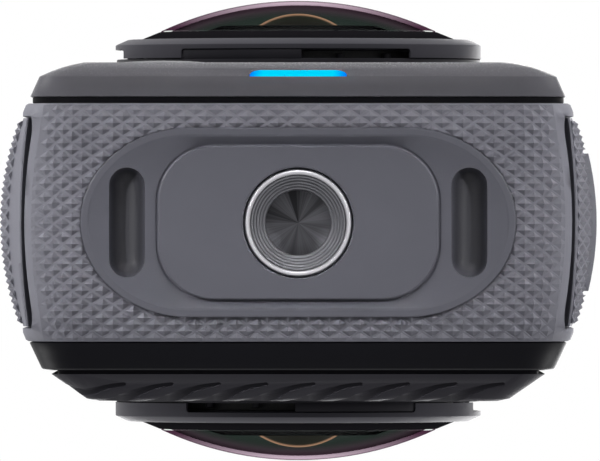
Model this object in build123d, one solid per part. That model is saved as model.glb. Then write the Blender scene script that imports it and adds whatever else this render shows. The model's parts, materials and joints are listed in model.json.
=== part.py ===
from build123d import *
import math
import os

# A 360 degree camera that stands upright on its base. Millimetres, +Z up, z = 0 under the base.
# The touchscreen side faces -Y, the ribbed side +Y, the USB door -X and the battery +X.

# Whole body: the outline in XZ at the grip band's flat middle
BODY_HEIGHT = 124.5
BODY_HALF_WIDTH = 21.99
BOTTOM_CORNER = 5.1
TOP_CORNER = 12.0
LEAST_CORNER = 1.2
OVERRUN = 5.0
SEAT_GAP = 0.05
PLAY = 0.3

# Grip band: a closed ring with a flat middle and rounded shoulders
BAND_FRONT = -9.77
BAND_REAR = 8.52
SHOULDER_DROP = 1.1
SHOULDER_RUN = 2.6
SHOULDER_TURN = 60
SHOULDER_STEPS = 3
BAND_BORE_INSET = 2.3

# Front cover: chamfer band, soft bevel and flat face
COVER_BACK = -10.29
COVER_BACK_INSET = 1.36
COVER_EDGE = -11.85
COVER_EDGE_INSET = 2.07
COVER_FACE = -12.95
COVER_FACE_INSET = 5.45
BEVEL_BULGE = 0.13
BEVEL_STEPS = 4
NECK_INSET = 1.55

# Rear cover rim and ribbed panel
RIM_FRONT = 8.58
RIM_FRONT_INSET = 1.29
RIM_REAR = 10.65
RIM_REAR_INSET = 2.27
LEDGE_Y = 10.75
LEDGE_INSET = 2.95
PANEL_FRONT = 11.04
PANEL_FRONT_INSET = 2.99
PANEL_NECK_INSET = 3.5
PANEL_EDGE = 12.95
PANEL_EDGE_INSET = 5.7
PANEL_FACE = 13.15
PANEL_FACE_INSET = 6.6

# Slanted grooves of the ribbed panel
RIB_PITCH = 3.64
RIB_WIDTH = 2.3
RIB_MIDDLE_WIDTH = 1.0
RIB_TIP_WIDTH = 0.4
RIB_DEPTH = 0.45
RIB_SLANT = 60
RIB_TIP_SLANT = 8
RIB_CURVE = 7.0
RIB_TIP_INSET = 4.1
RIB_FIRST_INSET = 8.59
RIB_LENS_WALL = 3.8

# Base: oval inlay with a raised pad, two slots and the tripod thread
BASE_CENTRE_Y = -0.62
INLAY_SIDE_INSET = 5.25
INLAY_END = 8.4
INLAY_HALF_DEPTH = 7.3
PAD_SLOT_WALL = 2.38
PAD_WIDTH = 11.8
PAD_CORNER = 4.3
TRENCH_END_MARGIN = 0.95
TRENCH_SIDE_MARGIN = 0.73
TRENCH_CORNER = 5.2
TRENCH_DEPTH = 0.5
SLOT_SIDE_INSET = 8.86
SLOT_WIDTH = 2.75
SLOT_LENGTH = 8.43
SLOT_STRAIGHT = 0.45
THREAD_CENTRE_Y = -0.59
THREAD_HEAD_RADIUS = 4.17
THREAD_MOUTH_RADIUS = 3.6
THREAD_MINOR_RADIUS = 2.55
THREAD_BEVEL = 0.35
THREAD_THROAT = 1.5
THREAD_DEPTH = 6.0
THREAD_SHANK_RADIUS = 3.9
THREAD_HEAD_HEIGHT = 1.2
THREAD_LENGTH = 7.0

# Side pieces: a bulge with an arc-shaped outside
SIDE_PROUD = 1.01
SIDE_FRONT = -8.64
SIDE_REAR = 7.37
SIDE_SAGITTA = 1.5
SIDE_GAP = 0.15
SIDE_WALL_GAP = 0.21
SIDE_LOW = 2.1
SIDE_LIP_INSET = 0.59
SIDE_LIP_Z = 2.6
SIDE_INNER_Z = 4.2
SIDE_OUTER_Z = 5.0
SIDE_TOP = 70.0

# USB door, its hinge and the port behind it
HINGE_INSET = 0.39
HINGE_Z = 38.0
KNUCKLE_RADIUS = 1.1
KNUCKLE_HALF = 3.5
EAR_RADIUS = 0.8
EAR_THICKNESS = 1.4
EAR_GAP = 0.06
PIN_RADIUS = 0.45
PIN_CLEARANCE = 0.05
DOOR_NOTCH = 1.0
PORT_LOW = 14.0
PORT_HIGH = 27.0
PORT_FRONT = -5.5
PORT_REAR = 4.3
PORT_DEPTH = 7.04
PORT_CORNER = 2.0
SEAL_CLEARANCE = 0.4
SEAL_REACH = 1.4
SEAL_WALL = 1.2
USB_LENGTH = 6.6
USB_WIDTH = 8.94
USB_THICKNESS = 3.26
USB_WALL = 0.35
USB_TONGUE = 0.7

# Fixed side panel with the power and quick buttons
PANEL_LOW_Z = 39.8
POWER_Z = 61.5
QUICK_Z = 49.5
SIDE_BUTTON_RADIUS = 3.3
SIDE_BUTTON_SUNK = 0.3
SIDE_BUTTON_TRAVEL = 0.4
FLANGE_LIP = 0.6
FLANGE_THICKNESS = 0.4
BUTTON_CLEARANCE = 0.12
STEM_RADIUS = 0.9
SIDE_FLANGE_SUNK = 1.05
PRESS_GAP = 0.1
BOARD_THICKNESS = 0.8
DOME_RADIUS = 1.8
DOME_HEIGHT = 0.3
SIDE_BOARD_SUNK = 0.34
SIDE_BOARD_MARGIN = 5.5
SIDE_BOARD_HALF = 3.6

# Battery, its cover and the sliding latch
LATCH_PROUD = 0.4
CELL_WALL = 1.0
CELL_FRONT = -6.0
CELL_REAR = 4.8
CELL_LOW = 8.2
CELL_HIGH = 67.0
CELL_CORNER = 2.0
BAY_CLEARANCE = 0.25
LATCH_TRAVEL = 1.5
LATCH_HALF = 5.3
LATCH_THICKNESS = 1.3
LATCH_LOW = 6.4
LATCH_HIGH = 17.0
LATCH_SHANK_HALF = 1.8
LATCH_SHANK_LOW = 6.3
LATCH_SHANK_HIGH = 7.1
LATCH_FOOT_LOW = 4.8
LATCH_FOOT_THICKNESS = 1.1
KEEPER_WALL = 1.24
KEEPER_TOP = 4.6
KEEPER_POCKET_LOW = 3.1
KEEPER_POCKET_MARGIN = 0.5
CONTACT_THICKNESS = 0.5
CONTACT_PITCH = 3.0
CONTACT_LENGTH = 2.0
CONTACT_COUNT = 4
CONTACT_Z = 60.0
BATTERY_SEAL_THICKNESS = 0.2
BATTERY_SEAL_WIDTH = 1.0

# Touchscreen and front buttons
GLASS_SIDE_INSET = 6.59
GLASS_LOW = 28.5
GLASS_LENS_WALL = 3.3
GLASS_CORNER = 2.5
GLASS_THICKNESS = 0.75
GLASS_LEDGE = 1.0
DISPLAY_THICKNESS = 1.5
FRONT_BUTTON_INSET = 11.49
FRONT_BUTTON_Z = 17.0
FRONT_BUTTON_RADIUS = 4.6
FRONT_BUTTON_CROWN = 0.25
FRONT_BUTTON_TRAVEL = 0.3
FRONT_FLANGE_Y = -11.2
FRONT_BOARD_Y = -9.95
FRONT_BOARD_LOW = 4.0
FRONT_BOARD_HIGH = 26.0
LIGHT_HALF = 3.72
LIGHT_HEIGHT = 1.9
LIGHT_Z = 2.25

# Inside the chassis
CHASSIS_INSET = 2.35
MAIN_BOARD_Y = -9.6
MAIN_BOARD_GAP = 2.0
MAIN_BOARD_DROP = 1.5
BOARD_RECESS_FLOOR = -8.6
BOARD_RECESS_WALL = 2.64
BOARD_MARGIN = 1.0
SOCKET_OVERHANG = 0.5
SOCKET_LENGTH = 14.0
SOCKET_THICKNESS = 1.5
SOCKET_LOW = 48.0
SOCKET_HIGH = 60.0
SPREADER_WALL = 4.64
SPREADER_LOW = 10.0
SPREADER_DROP = 3.5
SPREADER_THICKNESS = 0.6
SPEAKER_SUNK = 0.34
SPEAKER_THICKNESS = 3.7
SPEAKER_HALF = 4.0
SPEAKER_LOW = 73.0
SPEAKER_HIGH = 85.0
SPEAKER_SLOTS = 5
SPEAKER_SLOT_WIDTH = 0.9
SPEAKER_SLOT_PITCH = 2.0
SPEAKER_SLOT_HALF = 3.0
ANTENNA_ABOVE_SIDE = 4.0
ANTENNA_BELOW_CORNER = 16.5
ANTENNA_HALF = 4.0
ANTENNA_THICKNESS = 0.4
MIC_CORNER_GAP = 1.99
MIC_MESH_RADIUS = 1.2
MIC_HOLE_RADIUS = 0.7
MIC_MESH_THICKNESS = 0.6
MIC_MESH_SUNK = 0.25
MIC_LENGTH = 3.5
MIC_WIDTH = 2.65
MIC_HEIGHT = 1.0

# Lenses: radii, and heights measured outwards from the body's middle plane
LENS_TOP_WALL = 5.3
CHAMBER_GAP = 0.1
CHAMBER_FLOOR = 1.0
LENS_SIDE_INSET = 6.79
LENS_HOLE_GAP = 0.1
BASE_RING_BORE_SHARE = 0.7829
BASE_RING_TOP = 14.2
BLOCK_INNER_SHARE = 0.8849
BLOCK_STEM_SHARE = 0.9145
BLOCK_OUTER_SHARE = 0.9803
BLOCK_UNDERCUT = 14.62
BLOCK_TOP = 14.92
BLOCK_START = -39
BLOCK_SWEEP = 40
WINDOW_MARGIN = 0.5
WINDOW_TURNS = (0, 130, 250)
WINDOW_TOP = 15.0
POST_ANGLES = (14.8, 32.7)
POST_RADIUS = 0.35
POST_AT_SHARE = 0.8882
LENS_TWIST = 36
RING_WALL_INNER_SHARE = 0.9855
RING_LUG_INNER_SHARE = 0.9211
RING_LUG_SWEEP = 26
RING_LUG_HOLD = 12
RING_FOOT = 14.25
RING_LUG_TOP = 14.54
RING_SHELF = 14.85
RING_GLASS_SEAT = 15.3
RING_TOP = 15.85
RING_CHAMFER_RUN = 1.05
RING_CHAMFER_DROP = 0.47
RING_SHELF_OUTER_SHARE = 0.8750
RING_LIP_INNER_SHARE = 0.8651
RING_BORE_SHARE = 0.7632
RETAINER_TOP = 16.5
RETAINER_TOP_RADIUS_SHARE = 0.7566
RETAINER_RADIUS_SHARE = 0.8618
DOME_RISE = 2.6
DOME_SPHERE = 27.0
DOME_RIM_RADIUS_SHARE = 0.7500
DOME_WALL = 0.8
DOME_FLANGE_RADIUS_SHARE = 0.8026
DOME_FLANGE = 0.4
SEAL_INNER_SHARE = 0.7961
SEAL_OUTER_SHARE = 0.8487
BAFFLE_MOUTH_RADIUS_SHARE = 0.4243
BAFFLE_MOUTH = 17.0
BAFFLE_CONE_RADIUS_SHARE = 0.5197
BAFFLE_CONE = 16.5
BAFFLE_RIM_RADIUS_SHARE = 0.6776
BAFFLE_RIM = 16.2
BAFFLE_FOOT = 15.7
BARREL_RADIUS_SHARE = 0.5658
BARREL_FLANGE_RADIUS_SHARE = 0.7697
BARREL_FLANGE_TOP = 3.6
BARREL_FOOT = 2.15
BARREL_TOP = 15.65
BARREL_BORE_SHARE = 0.4013
BARREL_THROAT_SHARE = 0.3026
BARREL_STEP = 8.2
BARREL_FOOT_BORE_SHARE = 0.4803
FISHEYE_DOME_GAP = 0.26
FISHEYE_GAP = 0.15
FISHEYE_LESS_SPHERE = 0.05
FISHEYE_BACK = 10.4
GROUP_LOW = 3.75
GROUP_GAP = 0.1
SENSOR_WIDTH_SHARE = 0.6579
SENSOR_HEIGHT_SHARE = 0.5263
SENSOR_THICKNESS = 0.9
SENSOR_BOARD_SIZE_SHARE = 1.0526
SENSOR_BOARD_TOP = 2.1

# Places that follow from the sizes above
LENS_RADIUS = BODY_HALF_WIDTH - LENS_SIDE_INSET
LENS_Z = BODY_HEIGHT - LENS_RADIUS - LENS_TOP_WALL
FRONT_PLANE = Plane(origin=(0, 0, LENS_Z), x_dir=(1, 0, 0), z_dir=(0, -1, 0))
RIB_TOP_Z = LENS_Z - LENS_RADIUS - RIB_LENS_WALL
RIB_FIRST_X = RIB_FIRST_INSET - BODY_HALF_WIDTH
INLAY_STRAIGHT = BODY_HALF_WIDTH - INLAY_SIDE_INSET - INLAY_END
SLOT_X = BODY_HALF_WIDTH - SLOT_SIDE_INSET
PAD_LENGTH = 2 * (SLOT_X - PAD_SLOT_WALL)
TRENCH_LENGTH = PAD_LENGTH + 2 * TRENCH_END_MARGIN
TRENCH_WIDTH = PAD_WIDTH + 2 * TRENCH_SIDE_MARGIN
COVER_HOLE_RADIUS = LENS_RADIUS + LENS_HOLE_GAP
BASE_RING_RADIUS = LENS_RADIUS - LENS_HOLE_GAP
BASE_RING_BORE = BASE_RING_BORE_SHARE * LENS_RADIUS
BLOCK_INNER = BLOCK_INNER_SHARE * LENS_RADIUS
BLOCK_STEM = BLOCK_STEM_SHARE * LENS_RADIUS
BLOCK_OUTER = BLOCK_OUTER_SHARE * LENS_RADIUS
POST_AT = POST_AT_SHARE * LENS_RADIUS
RING_WALL_INNER = RING_WALL_INNER_SHARE * LENS_RADIUS
RING_LUG_INNER = RING_LUG_INNER_SHARE * LENS_RADIUS
RING_SHELF_OUTER = RING_SHELF_OUTER_SHARE * LENS_RADIUS
RING_LIP_INNER = RING_LIP_INNER_SHARE * LENS_RADIUS
RING_BORE = RING_BORE_SHARE * LENS_RADIUS
RETAINER_TOP_RADIUS = RETAINER_TOP_RADIUS_SHARE * LENS_RADIUS
RETAINER_RADIUS = RETAINER_RADIUS_SHARE * LENS_RADIUS
DOME_RIM_RADIUS = DOME_RIM_RADIUS_SHARE * LENS_RADIUS
DOME_FLANGE_RADIUS = DOME_FLANGE_RADIUS_SHARE * LENS_RADIUS
SEAL_INNER = SEAL_INNER_SHARE * LENS_RADIUS
SEAL_OUTER = SEAL_OUTER_SHARE * LENS_RADIUS
BAFFLE_MOUTH_RADIUS = BAFFLE_MOUTH_RADIUS_SHARE * LENS_RADIUS
BAFFLE_CONE_RADIUS = BAFFLE_CONE_RADIUS_SHARE * LENS_RADIUS
BAFFLE_RIM_RADIUS = BAFFLE_RIM_RADIUS_SHARE * LENS_RADIUS
BARREL_RADIUS = BARREL_RADIUS_SHARE * LENS_RADIUS
BARREL_FLANGE_RADIUS = BARREL_FLANGE_RADIUS_SHARE * LENS_RADIUS
BARREL_BORE = BARREL_BORE_SHARE * LENS_RADIUS
BARREL_THROAT = BARREL_THROAT_SHARE * LENS_RADIUS
BARREL_FOOT_BORE = BARREL_FOOT_BORE_SHARE * LENS_RADIUS
SENSOR_WIDTH = SENSOR_WIDTH_SHARE * LENS_RADIUS
SENSOR_HEIGHT = SENSOR_HEIGHT_SHARE * LENS_RADIUS
SENSOR_BOARD_SIZE = SENSOR_BOARD_SIZE_SHARE * LENS_RADIUS
CHAMBER_RADIUS = BASE_RING_BORE + CHAMBER_GAP
FISHEYE_RADIUS = BARREL_BORE - FISHEYE_GAP
FISHEYE_SPHERE = FISHEYE_RADIUS + FISHEYE_LESS_SPHERE
GROUP_RADIUS = BARREL_THROAT - GROUP_GAP
DOME_APEX = RETAINER_TOP + DOME_RISE
FISHEYE_APEX = DOME_APEX - DOME_WALL - FISHEYE_DOME_GAP
MIC_X = BODY_HALF_WIDTH - TOP_CORNER - MIC_CORNER_GAP
WINDOW_START = BLOCK_START - WINDOW_MARGIN
WINDOW_SWEEP = BLOCK_SWEEP + LENS_TWIST + 2 * WINDOW_MARGIN
RING_LUG_START = WINDOW_START - RING_LUG_HOLD
SIDE_WALL = BODY_HALF_WIDTH - CHASSIS_INSET
SIDE_INNER = SIDE_WALL + SIDE_WALL_GAP
SIDE_REACH = BODY_HALF_WIDTH + SIDE_PROUD
SIDE_LIP_X = BODY_HALF_WIDTH - SIDE_LIP_INSET
SIDE_CENTRE_Y = (SIDE_FRONT + SIDE_REAR) / 2
BATTERY_REACH = SIDE_REACH - LATCH_PROUD
CELL_CENTRE_Y = (CELL_FRONT + CELL_REAR) / 2
HINGE_X = HINGE_INSET - BODY_HALF_WIDTH
PORT_DEEP_X = PORT_DEPTH - SIDE_WALL
CELL_DEEP_X = PORT_DEEP_X + CELL_WALL
KEEPER_INNER = SIDE_WALL - KEEPER_WALL
LATCH_FOOT_OUTER = KEEPER_INNER - PLAY
LATCH_FOOT_INNER = LATCH_FOOT_OUTER - LATCH_FOOT_THICKNESS
KEEPER_POCKET_INNER = LATCH_FOOT_INNER - KEEPER_POCKET_MARGIN
FRONT_BUTTON_X = BODY_HALF_WIDTH - FRONT_BUTTON_INSET
SPREADER_HALF = SIDE_WALL - SPREADER_WALL
SIDE_BUTTON_FACE = SIDE_BUTTON_SUNK - SIDE_REACH
SIDE_FLANGE_X = -SIDE_INNER - SIDE_FLANGE_SUNK
SIDE_BOARD_X = SIDE_BOARD_SUNK - SIDE_WALL
SIDE_STEM_X = SIDE_BOARD_X - DOME_HEIGHT - SIDE_BUTTON_TRAVEL - PRESS_GAP
SIDE_BOARD_LOW = QUICK_Z - SIDE_BOARD_MARGIN
SIDE_BOARD_HIGH = POWER_Z + SIDE_BOARD_MARGIN
FRONT_STEM_Y = FRONT_BOARD_Y - DOME_HEIGHT - FRONT_BUTTON_TRAVEL - PRESS_GAP
BOARD_RECESS_HALF = SIDE_WALL - BOARD_RECESS_WALL
FRONT_BOARD_HALF = BOARD_RECESS_HALF - BOARD_MARGIN
SOCKET_X = FRONT_BOARD_HALF + SOCKET_OVERHANG - SOCKET_LENGTH
GLASS_HALF_WIDTH = BODY_HALF_WIDTH - GLASS_SIDE_INSET
GLASS_HIGH = LENS_Z - LENS_RADIUS - GLASS_LENS_WALL
MAIN_BOARD_LOW = FRONT_BOARD_HIGH + MAIN_BOARD_GAP
MAIN_BOARD_HIGH = GLASS_HIGH - MAIN_BOARD_DROP
SPREADER_HIGH = GLASS_HIGH - SPREADER_DROP
SPEAKER_OUTER = SIDE_WALL - SPEAKER_SUNK
SPEAKER_INNER = SPEAKER_OUTER - SPEAKER_THICKNESS
ANTENNA_LOW = SIDE_TOP + ANTENNA_ABOVE_SIDE
ANTENNA_HIGH = BODY_HEIGHT - TOP_CORNER - ANTENNA_BELOW_CORNER


def block(x0, x1, y0, y1, z0, z1):
    """A box between two corners, in any order."""
    size = abs(x1 - x0), abs(y1 - y0), abs(z1 - z0)
    return Pos((x0 + x1) / 2, (y0 + y1) / 2, (z0 + z1) / 2) * Box(*size)


def outline(inset):
    """The body's outline in XZ, pulled in by inset: small corners below, large ones above."""
    sheet = Pos(0, BODY_HEIGHT / 2) * Rectangle(
        2 * (BODY_HALF_WIDTH - inset), BODY_HEIGHT - 2 * inset)
    low = sheet.vertices().group_by(Axis.Y)[0]
    sheet = fillet(low, max(BOTTOM_CORNER - inset, LEAST_CORNER))
    high = sheet.vertices().group_by(Axis.Y)[-1]
    return fillet(high, max(TOP_CORNER - inset, LEAST_CORNER))


def stack(stations):
    """A solid through outlines at the given (y, inset) stations."""
    return loft([(Plane.XZ.offset(-y) * outline(inset)).face() for y, inset in stations], ruled=True)


def plate(inset, y0, y1):
    """A straight slab of the body's outline from y0 to y1."""
    return extrude(Plane.XZ.offset(-y1) * outline(inset), amount=y1 - y0)


def soft_bevel():
    """Stations of the front bevel, a slope from the band to the face that swells a little."""
    stations = []
    for step in range(BEVEL_STEPS + 1):
        share = step / BEVEL_STEPS
        swell = 4 * BEVEL_BULGE * share * (1 - share)
        stations.append((COVER_EDGE + (COVER_FACE - COVER_EDGE) * share - swell,
                         COVER_EDGE_INSET + (COVER_FACE_INSET - COVER_EDGE_INSET) * share))
    return stations


def shoulder(edge_y, flat_y):
    """Stations of one rounded shoulder of the grip band, from the edge to the flat middle."""
    stations = []
    for step in range(SHOULDER_STEPS, -1, -1):
        angle = math.radians(SHOULDER_TURN * step / SHOULDER_STEPS)
        along = math.sin(angle) / math.sin(math.radians(SHOULDER_TURN))
        down = (1 - math.cos(angle)) / (1 - math.cos(math.radians(SHOULDER_TURN)))
        stations.append((flat_y + (edge_y - flat_y) * along, SHOULDER_DROP * down))
    return stations


def drum(radius, low, high):
    """A cylinder on the front lens axis, between two heights from the middle plane."""
    return extrude(FRONT_PLANE.offset(low) * Circle(radius), amount=high - low)


def ring(outer, inner, low, high):
    """A tube on the front lens axis."""
    sheet = Circle(outer) - Circle(inner)
    return extrude(FRONT_PLANE.offset(low) * sheet, amount=high - low)


def polar(radius, angle):
    """The plane point at a radius and an angle in radians."""
    return radius * math.cos(angle), radius * math.sin(angle)


def wedge(outer, inner, start, sweep, low, high):
    """A ring segment on the front lens axis; angles run from straight down towards +X."""
    first = math.radians(start - 90)
    middle = math.radians(start - 90 + sweep / 2)
    last = math.radians(start - 90 + sweep)
    edges = [
        Edge.make_three_point_arc(polar(outer, first), polar(outer, middle), polar(outer, last)),
        Edge.make_line(polar(outer, last), polar(inner, last)),
        Edge.make_three_point_arc(polar(inner, last), polar(inner, middle), polar(inner, first)),
        Edge.make_line(polar(inner, first), polar(outer, first)),
    ]
    return extrude(FRONT_PLANE.offset(low) * Face(Wire(edges)), amount=high - low)


def oval(grow):
    """The inlay's outline: a straight middle with elliptical ends."""
    half = INLAY_HALF_DEPTH + grow
    end = Ellipse(INLAY_END + grow, half)
    sheet = Rectangle(2 * INLAY_STRAIGHT, 2 * half)
    return Pos(0, BASE_CENTRE_Y) * (sheet + Pos(INLAY_STRAIGHT) * end + Pos(-INLAY_STRAIGHT) * end)


def bulge_face(reach, grow=0):
    """The side piece's outline in XY on +X: flat inside, an arc outside."""
    front, rear = SIDE_FRONT - grow, SIDE_REAR + grow
    edge = reach - SIDE_SAGITTA
    edges = [
        Edge.make_three_point_arc((edge, front), (reach, SIDE_CENTRE_Y), (edge, rear)),
        Edge.make_line((edge, rear), (SIDE_INNER, rear)),
        Edge.make_line((SIDE_INNER, rear), (SIDE_INNER, front)),
        Edge.make_line((SIDE_INNER, front), (edge, front)),
    ]
    return Face(Wire(edges))


def bulge(reach, low, high):
    """A side piece on +X between two heights, with its stepped and slanted lower end."""
    body = extrude(Pos(0, 0, low) * bulge_face(reach), amount=high - low)
    profile = make_face(Polyline(
        (SIDE_INNER - SEAT_GAP, SIDE_INNER_Z), (SIDE_LIP_X, SIDE_LIP_Z), (reach + SEAT_GAP, SIDE_OUTER_Z),
        (reach + SEAT_GAP, SIDE_TOP + SEAT_GAP), (SIDE_INNER - SEAT_GAP, SIDE_TOP + SEAT_GAP), close=True))
    depth = SIDE_REAR - SIDE_FRONT
    return body & extrude(Plane.XZ.offset(-SIDE_REAR) * profile, amount=depth)


def to_left(part):
    """The same piece on the -X side."""
    return mirror(part, Plane.YZ)


# Shell


def grip_band():
    """The textured band: windows for the side pieces, the inlay, the speaker and the microphones."""
    flat_front, flat_rear = BAND_FRONT + SHOULDER_RUN, BAND_REAR - SHOULDER_RUN
    band = stack(shoulder(BAND_FRONT, flat_front) + shoulder(BAND_REAR, flat_rear)[::-1])
    band -= plate(BAND_BORE_INSET, BAND_FRONT - OVERRUN, BAND_REAR + OVERRUN)
    window = block(SIDE_WALL, SIDE_REACH + OVERRUN, SIDE_FRONT - SIDE_GAP,
                   SIDE_REAR + SIDE_GAP, SIDE_LOW - SIDE_GAP, SIDE_TOP + SIDE_GAP)
    band -= [window, to_left(window)]
    band -= extrude(Pos(0, 0, -OVERRUN) * oval(SEAT_GAP), amount=BAND_BORE_INSET + 2 * OVERRUN)
    middle = (SPEAKER_SLOTS - 1) / 2
    for index in range(SPEAKER_SLOTS):
        height = (SPEAKER_LOW + SPEAKER_HIGH) / 2 + (index - middle) * SPEAKER_SLOT_PITCH
        band -= block(SPEAKER_OUTER, SIDE_REACH, CELL_CENTRE_Y - SPEAKER_SLOT_HALF,
                      CELL_CENTRE_Y + SPEAKER_SLOT_HALF, height - SPEAKER_SLOT_WIDTH / 2,
                      height + SPEAKER_SLOT_WIDTH / 2)
    for x in (-MIC_X, MIC_X):
        sunk = MIC_MESH_THICKNESS + MIC_MESH_SUNK
        band -= upright(x, MIC_MESH_RADIUS + SEAT_GAP, BODY_HEIGHT - sunk, BODY_HEIGHT + OVERRUN)
        band -= upright(x, MIC_HOLE_RADIUS, BODY_HEIGHT - BAND_BORE_INSET - SEAT_GAP, BODY_HEIGHT)
    return band


def upright(x, radius, low, high):
    """A vertical cylinder in the middle of the band."""
    return extrude(Pos(x, BASE_CENTRE_Y, low) * Circle(radius), amount=high - low)


def lens_hole(y0, y1):
    """The round opening that both covers leave for a lens."""
    return Pos(0, 0, LENS_Z) * Rot(90, 0, 0) * Pos(0, 0, -(y0 + y1) / 2) * Cylinder(
        COVER_HOLE_RADIUS, abs(y1 - y0))


def glass_window(grow):
    """The touchscreen's outline in XZ."""
    height = GLASS_HIGH - GLASS_LOW
    sheet = RectangleRounded(2 * (GLASS_HALF_WIDTH + grow), height + 2 * grow, GLASS_CORNER + grow)
    return Pos(0, (GLASS_LOW + GLASS_HIGH) / 2) * sheet


def light_window(grow):
    """The status light's outline in XZ: a stadium whose lower half the chamfer band cuts off."""
    sheet = Pos(0, LIGHT_Z) * SlotOverall(2 * (LIGHT_HALF + grow), LIGHT_HEIGHT + 2 * grow)
    cut = Pos(0, COVER_EDGE_INSET + LIGHT_HEIGHT) * Rectangle(3 * LIGHT_HALF, 2 * LIGHT_HEIGHT)
    return sheet & cut


def cover_shape():
    """The front cover before its openings."""
    return stack([(COVER_BACK, COVER_BACK_INSET)] + soft_bevel())


def front_cover():
    """Front shell: chamfer band, soft bevel, and openings for lens, screen, buttons and light."""
    cover = cover_shape() - lens_hole(COVER_BACK + OVERRUN, COVER_FACE - OVERRUN)
    recess = Plane.XZ.offset(-COVER_FACE - GLASS_THICKNESS - SEAT_GAP) * glass_window(SEAT_GAP)
    cover -= extrude(recess, amount=OVERRUN)
    cover -= extrude(Plane.XZ * glass_window(-GLASS_LEDGE), amount=-COVER_FACE + OVERRUN)
    for x in (-FRONT_BUTTON_X, FRONT_BUTTON_X):
        bore = FRONT_BUTTON_RADIUS + BUTTON_CLEARANCE
        cover -= front_drum(x, bore, COVER_BACK + OVERRUN, COVER_FACE - OVERRUN)
        cover -= front_drum(x, bore + FLANGE_LIP, COVER_BACK + OVERRUN, FRONT_FLANGE_Y - SEAT_GAP)
    return cover - extrude(Plane.XZ * light_window(SEAT_GAP), amount=-COVER_FACE + OVERRUN)


def front_drum(x, radius, y0, y1):
    """A cylinder along Y at a front button."""
    disc = Plane.XZ.offset(-y0) * Pos(x, FRONT_BUTTON_Z) * Circle(radius)
    return extrude(disc, amount=y0 - y1)


def status_light_guide():
    """Light bar that fills its window and follows the cover's bevel."""
    bar = extrude(Plane.XZ.offset(-COVER_BACK + SEAT_GAP) * light_window(0), amount=-COVER_FACE)
    return bar & cover_shape()


def rear_cover():
    """Plain rim behind the band, which carries the ribbed panel."""
    rim = stack([(RIM_FRONT, RIM_FRONT_INSET), (RIM_REAR, RIM_REAR_INSET), (LEDGE_Y, LEDGE_INSET)])
    return rim - lens_hole(RIM_FRONT - OVERRUN, LEDGE_Y + OVERRUN)


def groove(x, z, run):
    """A groove's outline in XZ: a thin tip at (x, z) that widens and curves up into a slanted run."""
    tip = math.radians(RIB_TIP_SLANT)
    left, right = [], []
    for share, width in ((0, RIB_TIP_WIDTH), (1 / 2, RIB_MIDDLE_WIDTH), (1, RIB_WIDTH)):
        slant = tip + share * (math.radians(RIB_SLANT) - tip)
        along = x - RIB_CURVE * (math.sin(slant) - math.sin(tip))
        up = z + RIB_CURVE * (math.cos(tip) - math.cos(slant))
        across = math.sin(slant) * width / 2, math.cos(slant) * width / 2
        left.append((along - across[0], up - across[1]))
        right.append((along + across[0], up + across[1]))
    step = -math.cos(slant) * run, math.sin(slant) * run
    left_end, right_end = [(point[0] + step[0], point[1] + step[1]) for point in (left[-1], right[-1])]
    cap = along + step[0] - math.cos(slant) * width / 2, up + step[1] + math.sin(slant) * width / 2
    nose = x + math.cos(tip) * RIB_TIP_WIDTH / 2, z - math.sin(tip) * RIB_TIP_WIDTH / 2
    return Face(Wire([
        Edge.make_three_point_arc(left[0], nose, right[0]), Edge.make_three_point_arc(*right),
        Edge.make_line(right[-1], right_end), Edge.make_three_point_arc(right_end, cap, left_end),
        Edge.make_line(left_end, left[-1]), Edge.make_three_point_arc(*reversed(left))]))


def groove_outlines():
    """The grooves' outlines; those past the right edge start higher up along it."""
    slope = math.tan(math.radians(RIB_SLANT))
    tip = math.radians(RIB_TIP_SLANT)
    bend = RIB_CURVE * (math.sin(math.radians(RIB_SLANT)) - math.sin(tip))
    climb = RIB_CURVE * (math.cos(tip) - math.cos(math.radians(RIB_SLANT)))
    right = BODY_HALF_WIDTH - RIB_TIP_INSET - LEAST_CORNER
    count = int((right - RIB_FIRST_X + (RIB_TOP_Z - RIB_TIP_INSET) / slope) / RIB_PITCH)
    grooves = []
    for index in range(count):
        x, z = RIB_FIRST_X + index * RIB_PITCH, RIB_TIP_INSET
        if x > right:
            x, z = right, z + (x - right) * slope
        rise = min((x - bend + right) * slope, RIB_TOP_Z - z - climb)
        if z + climb < RIB_TOP_Z:
            grooves.append(groove(x, z, max(rise, RIB_TIP_WIDTH) / math.sin(math.radians(RIB_SLANT))))
    return grooves


def rear_ribbed_panel():
    """Bevelled rear panel with slanted grooves of even depth, which run out over the bevel."""
    panel = stack([(PANEL_FRONT, PANEL_FRONT_INSET), (PANEL_EDGE, PANEL_EDGE_INSET),
                   (PANEL_FACE, PANEL_FACE_INSET)])
    panel += plate(PANEL_NECK_INSET, LEDGE_Y, PANEL_FRONT)
    depth = PANEL_FACE + OVERRUN - PANEL_FRONT - RIB_DEPTH
    start = Plane.XZ.offset(-PANEL_FACE - OVERRUN)
    cuts = [extrude(start * groove, amount=depth) for groove in groove_outlines()]
    lowered = Pos(0, -RIB_DEPTH, 0) * panel
    panel -= [cut - lowered for cut in cuts]
    return panel - lens_hole(LEDGE_Y - OVERRUN, PANEL_FACE + OVERRUN)


# Base


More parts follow.
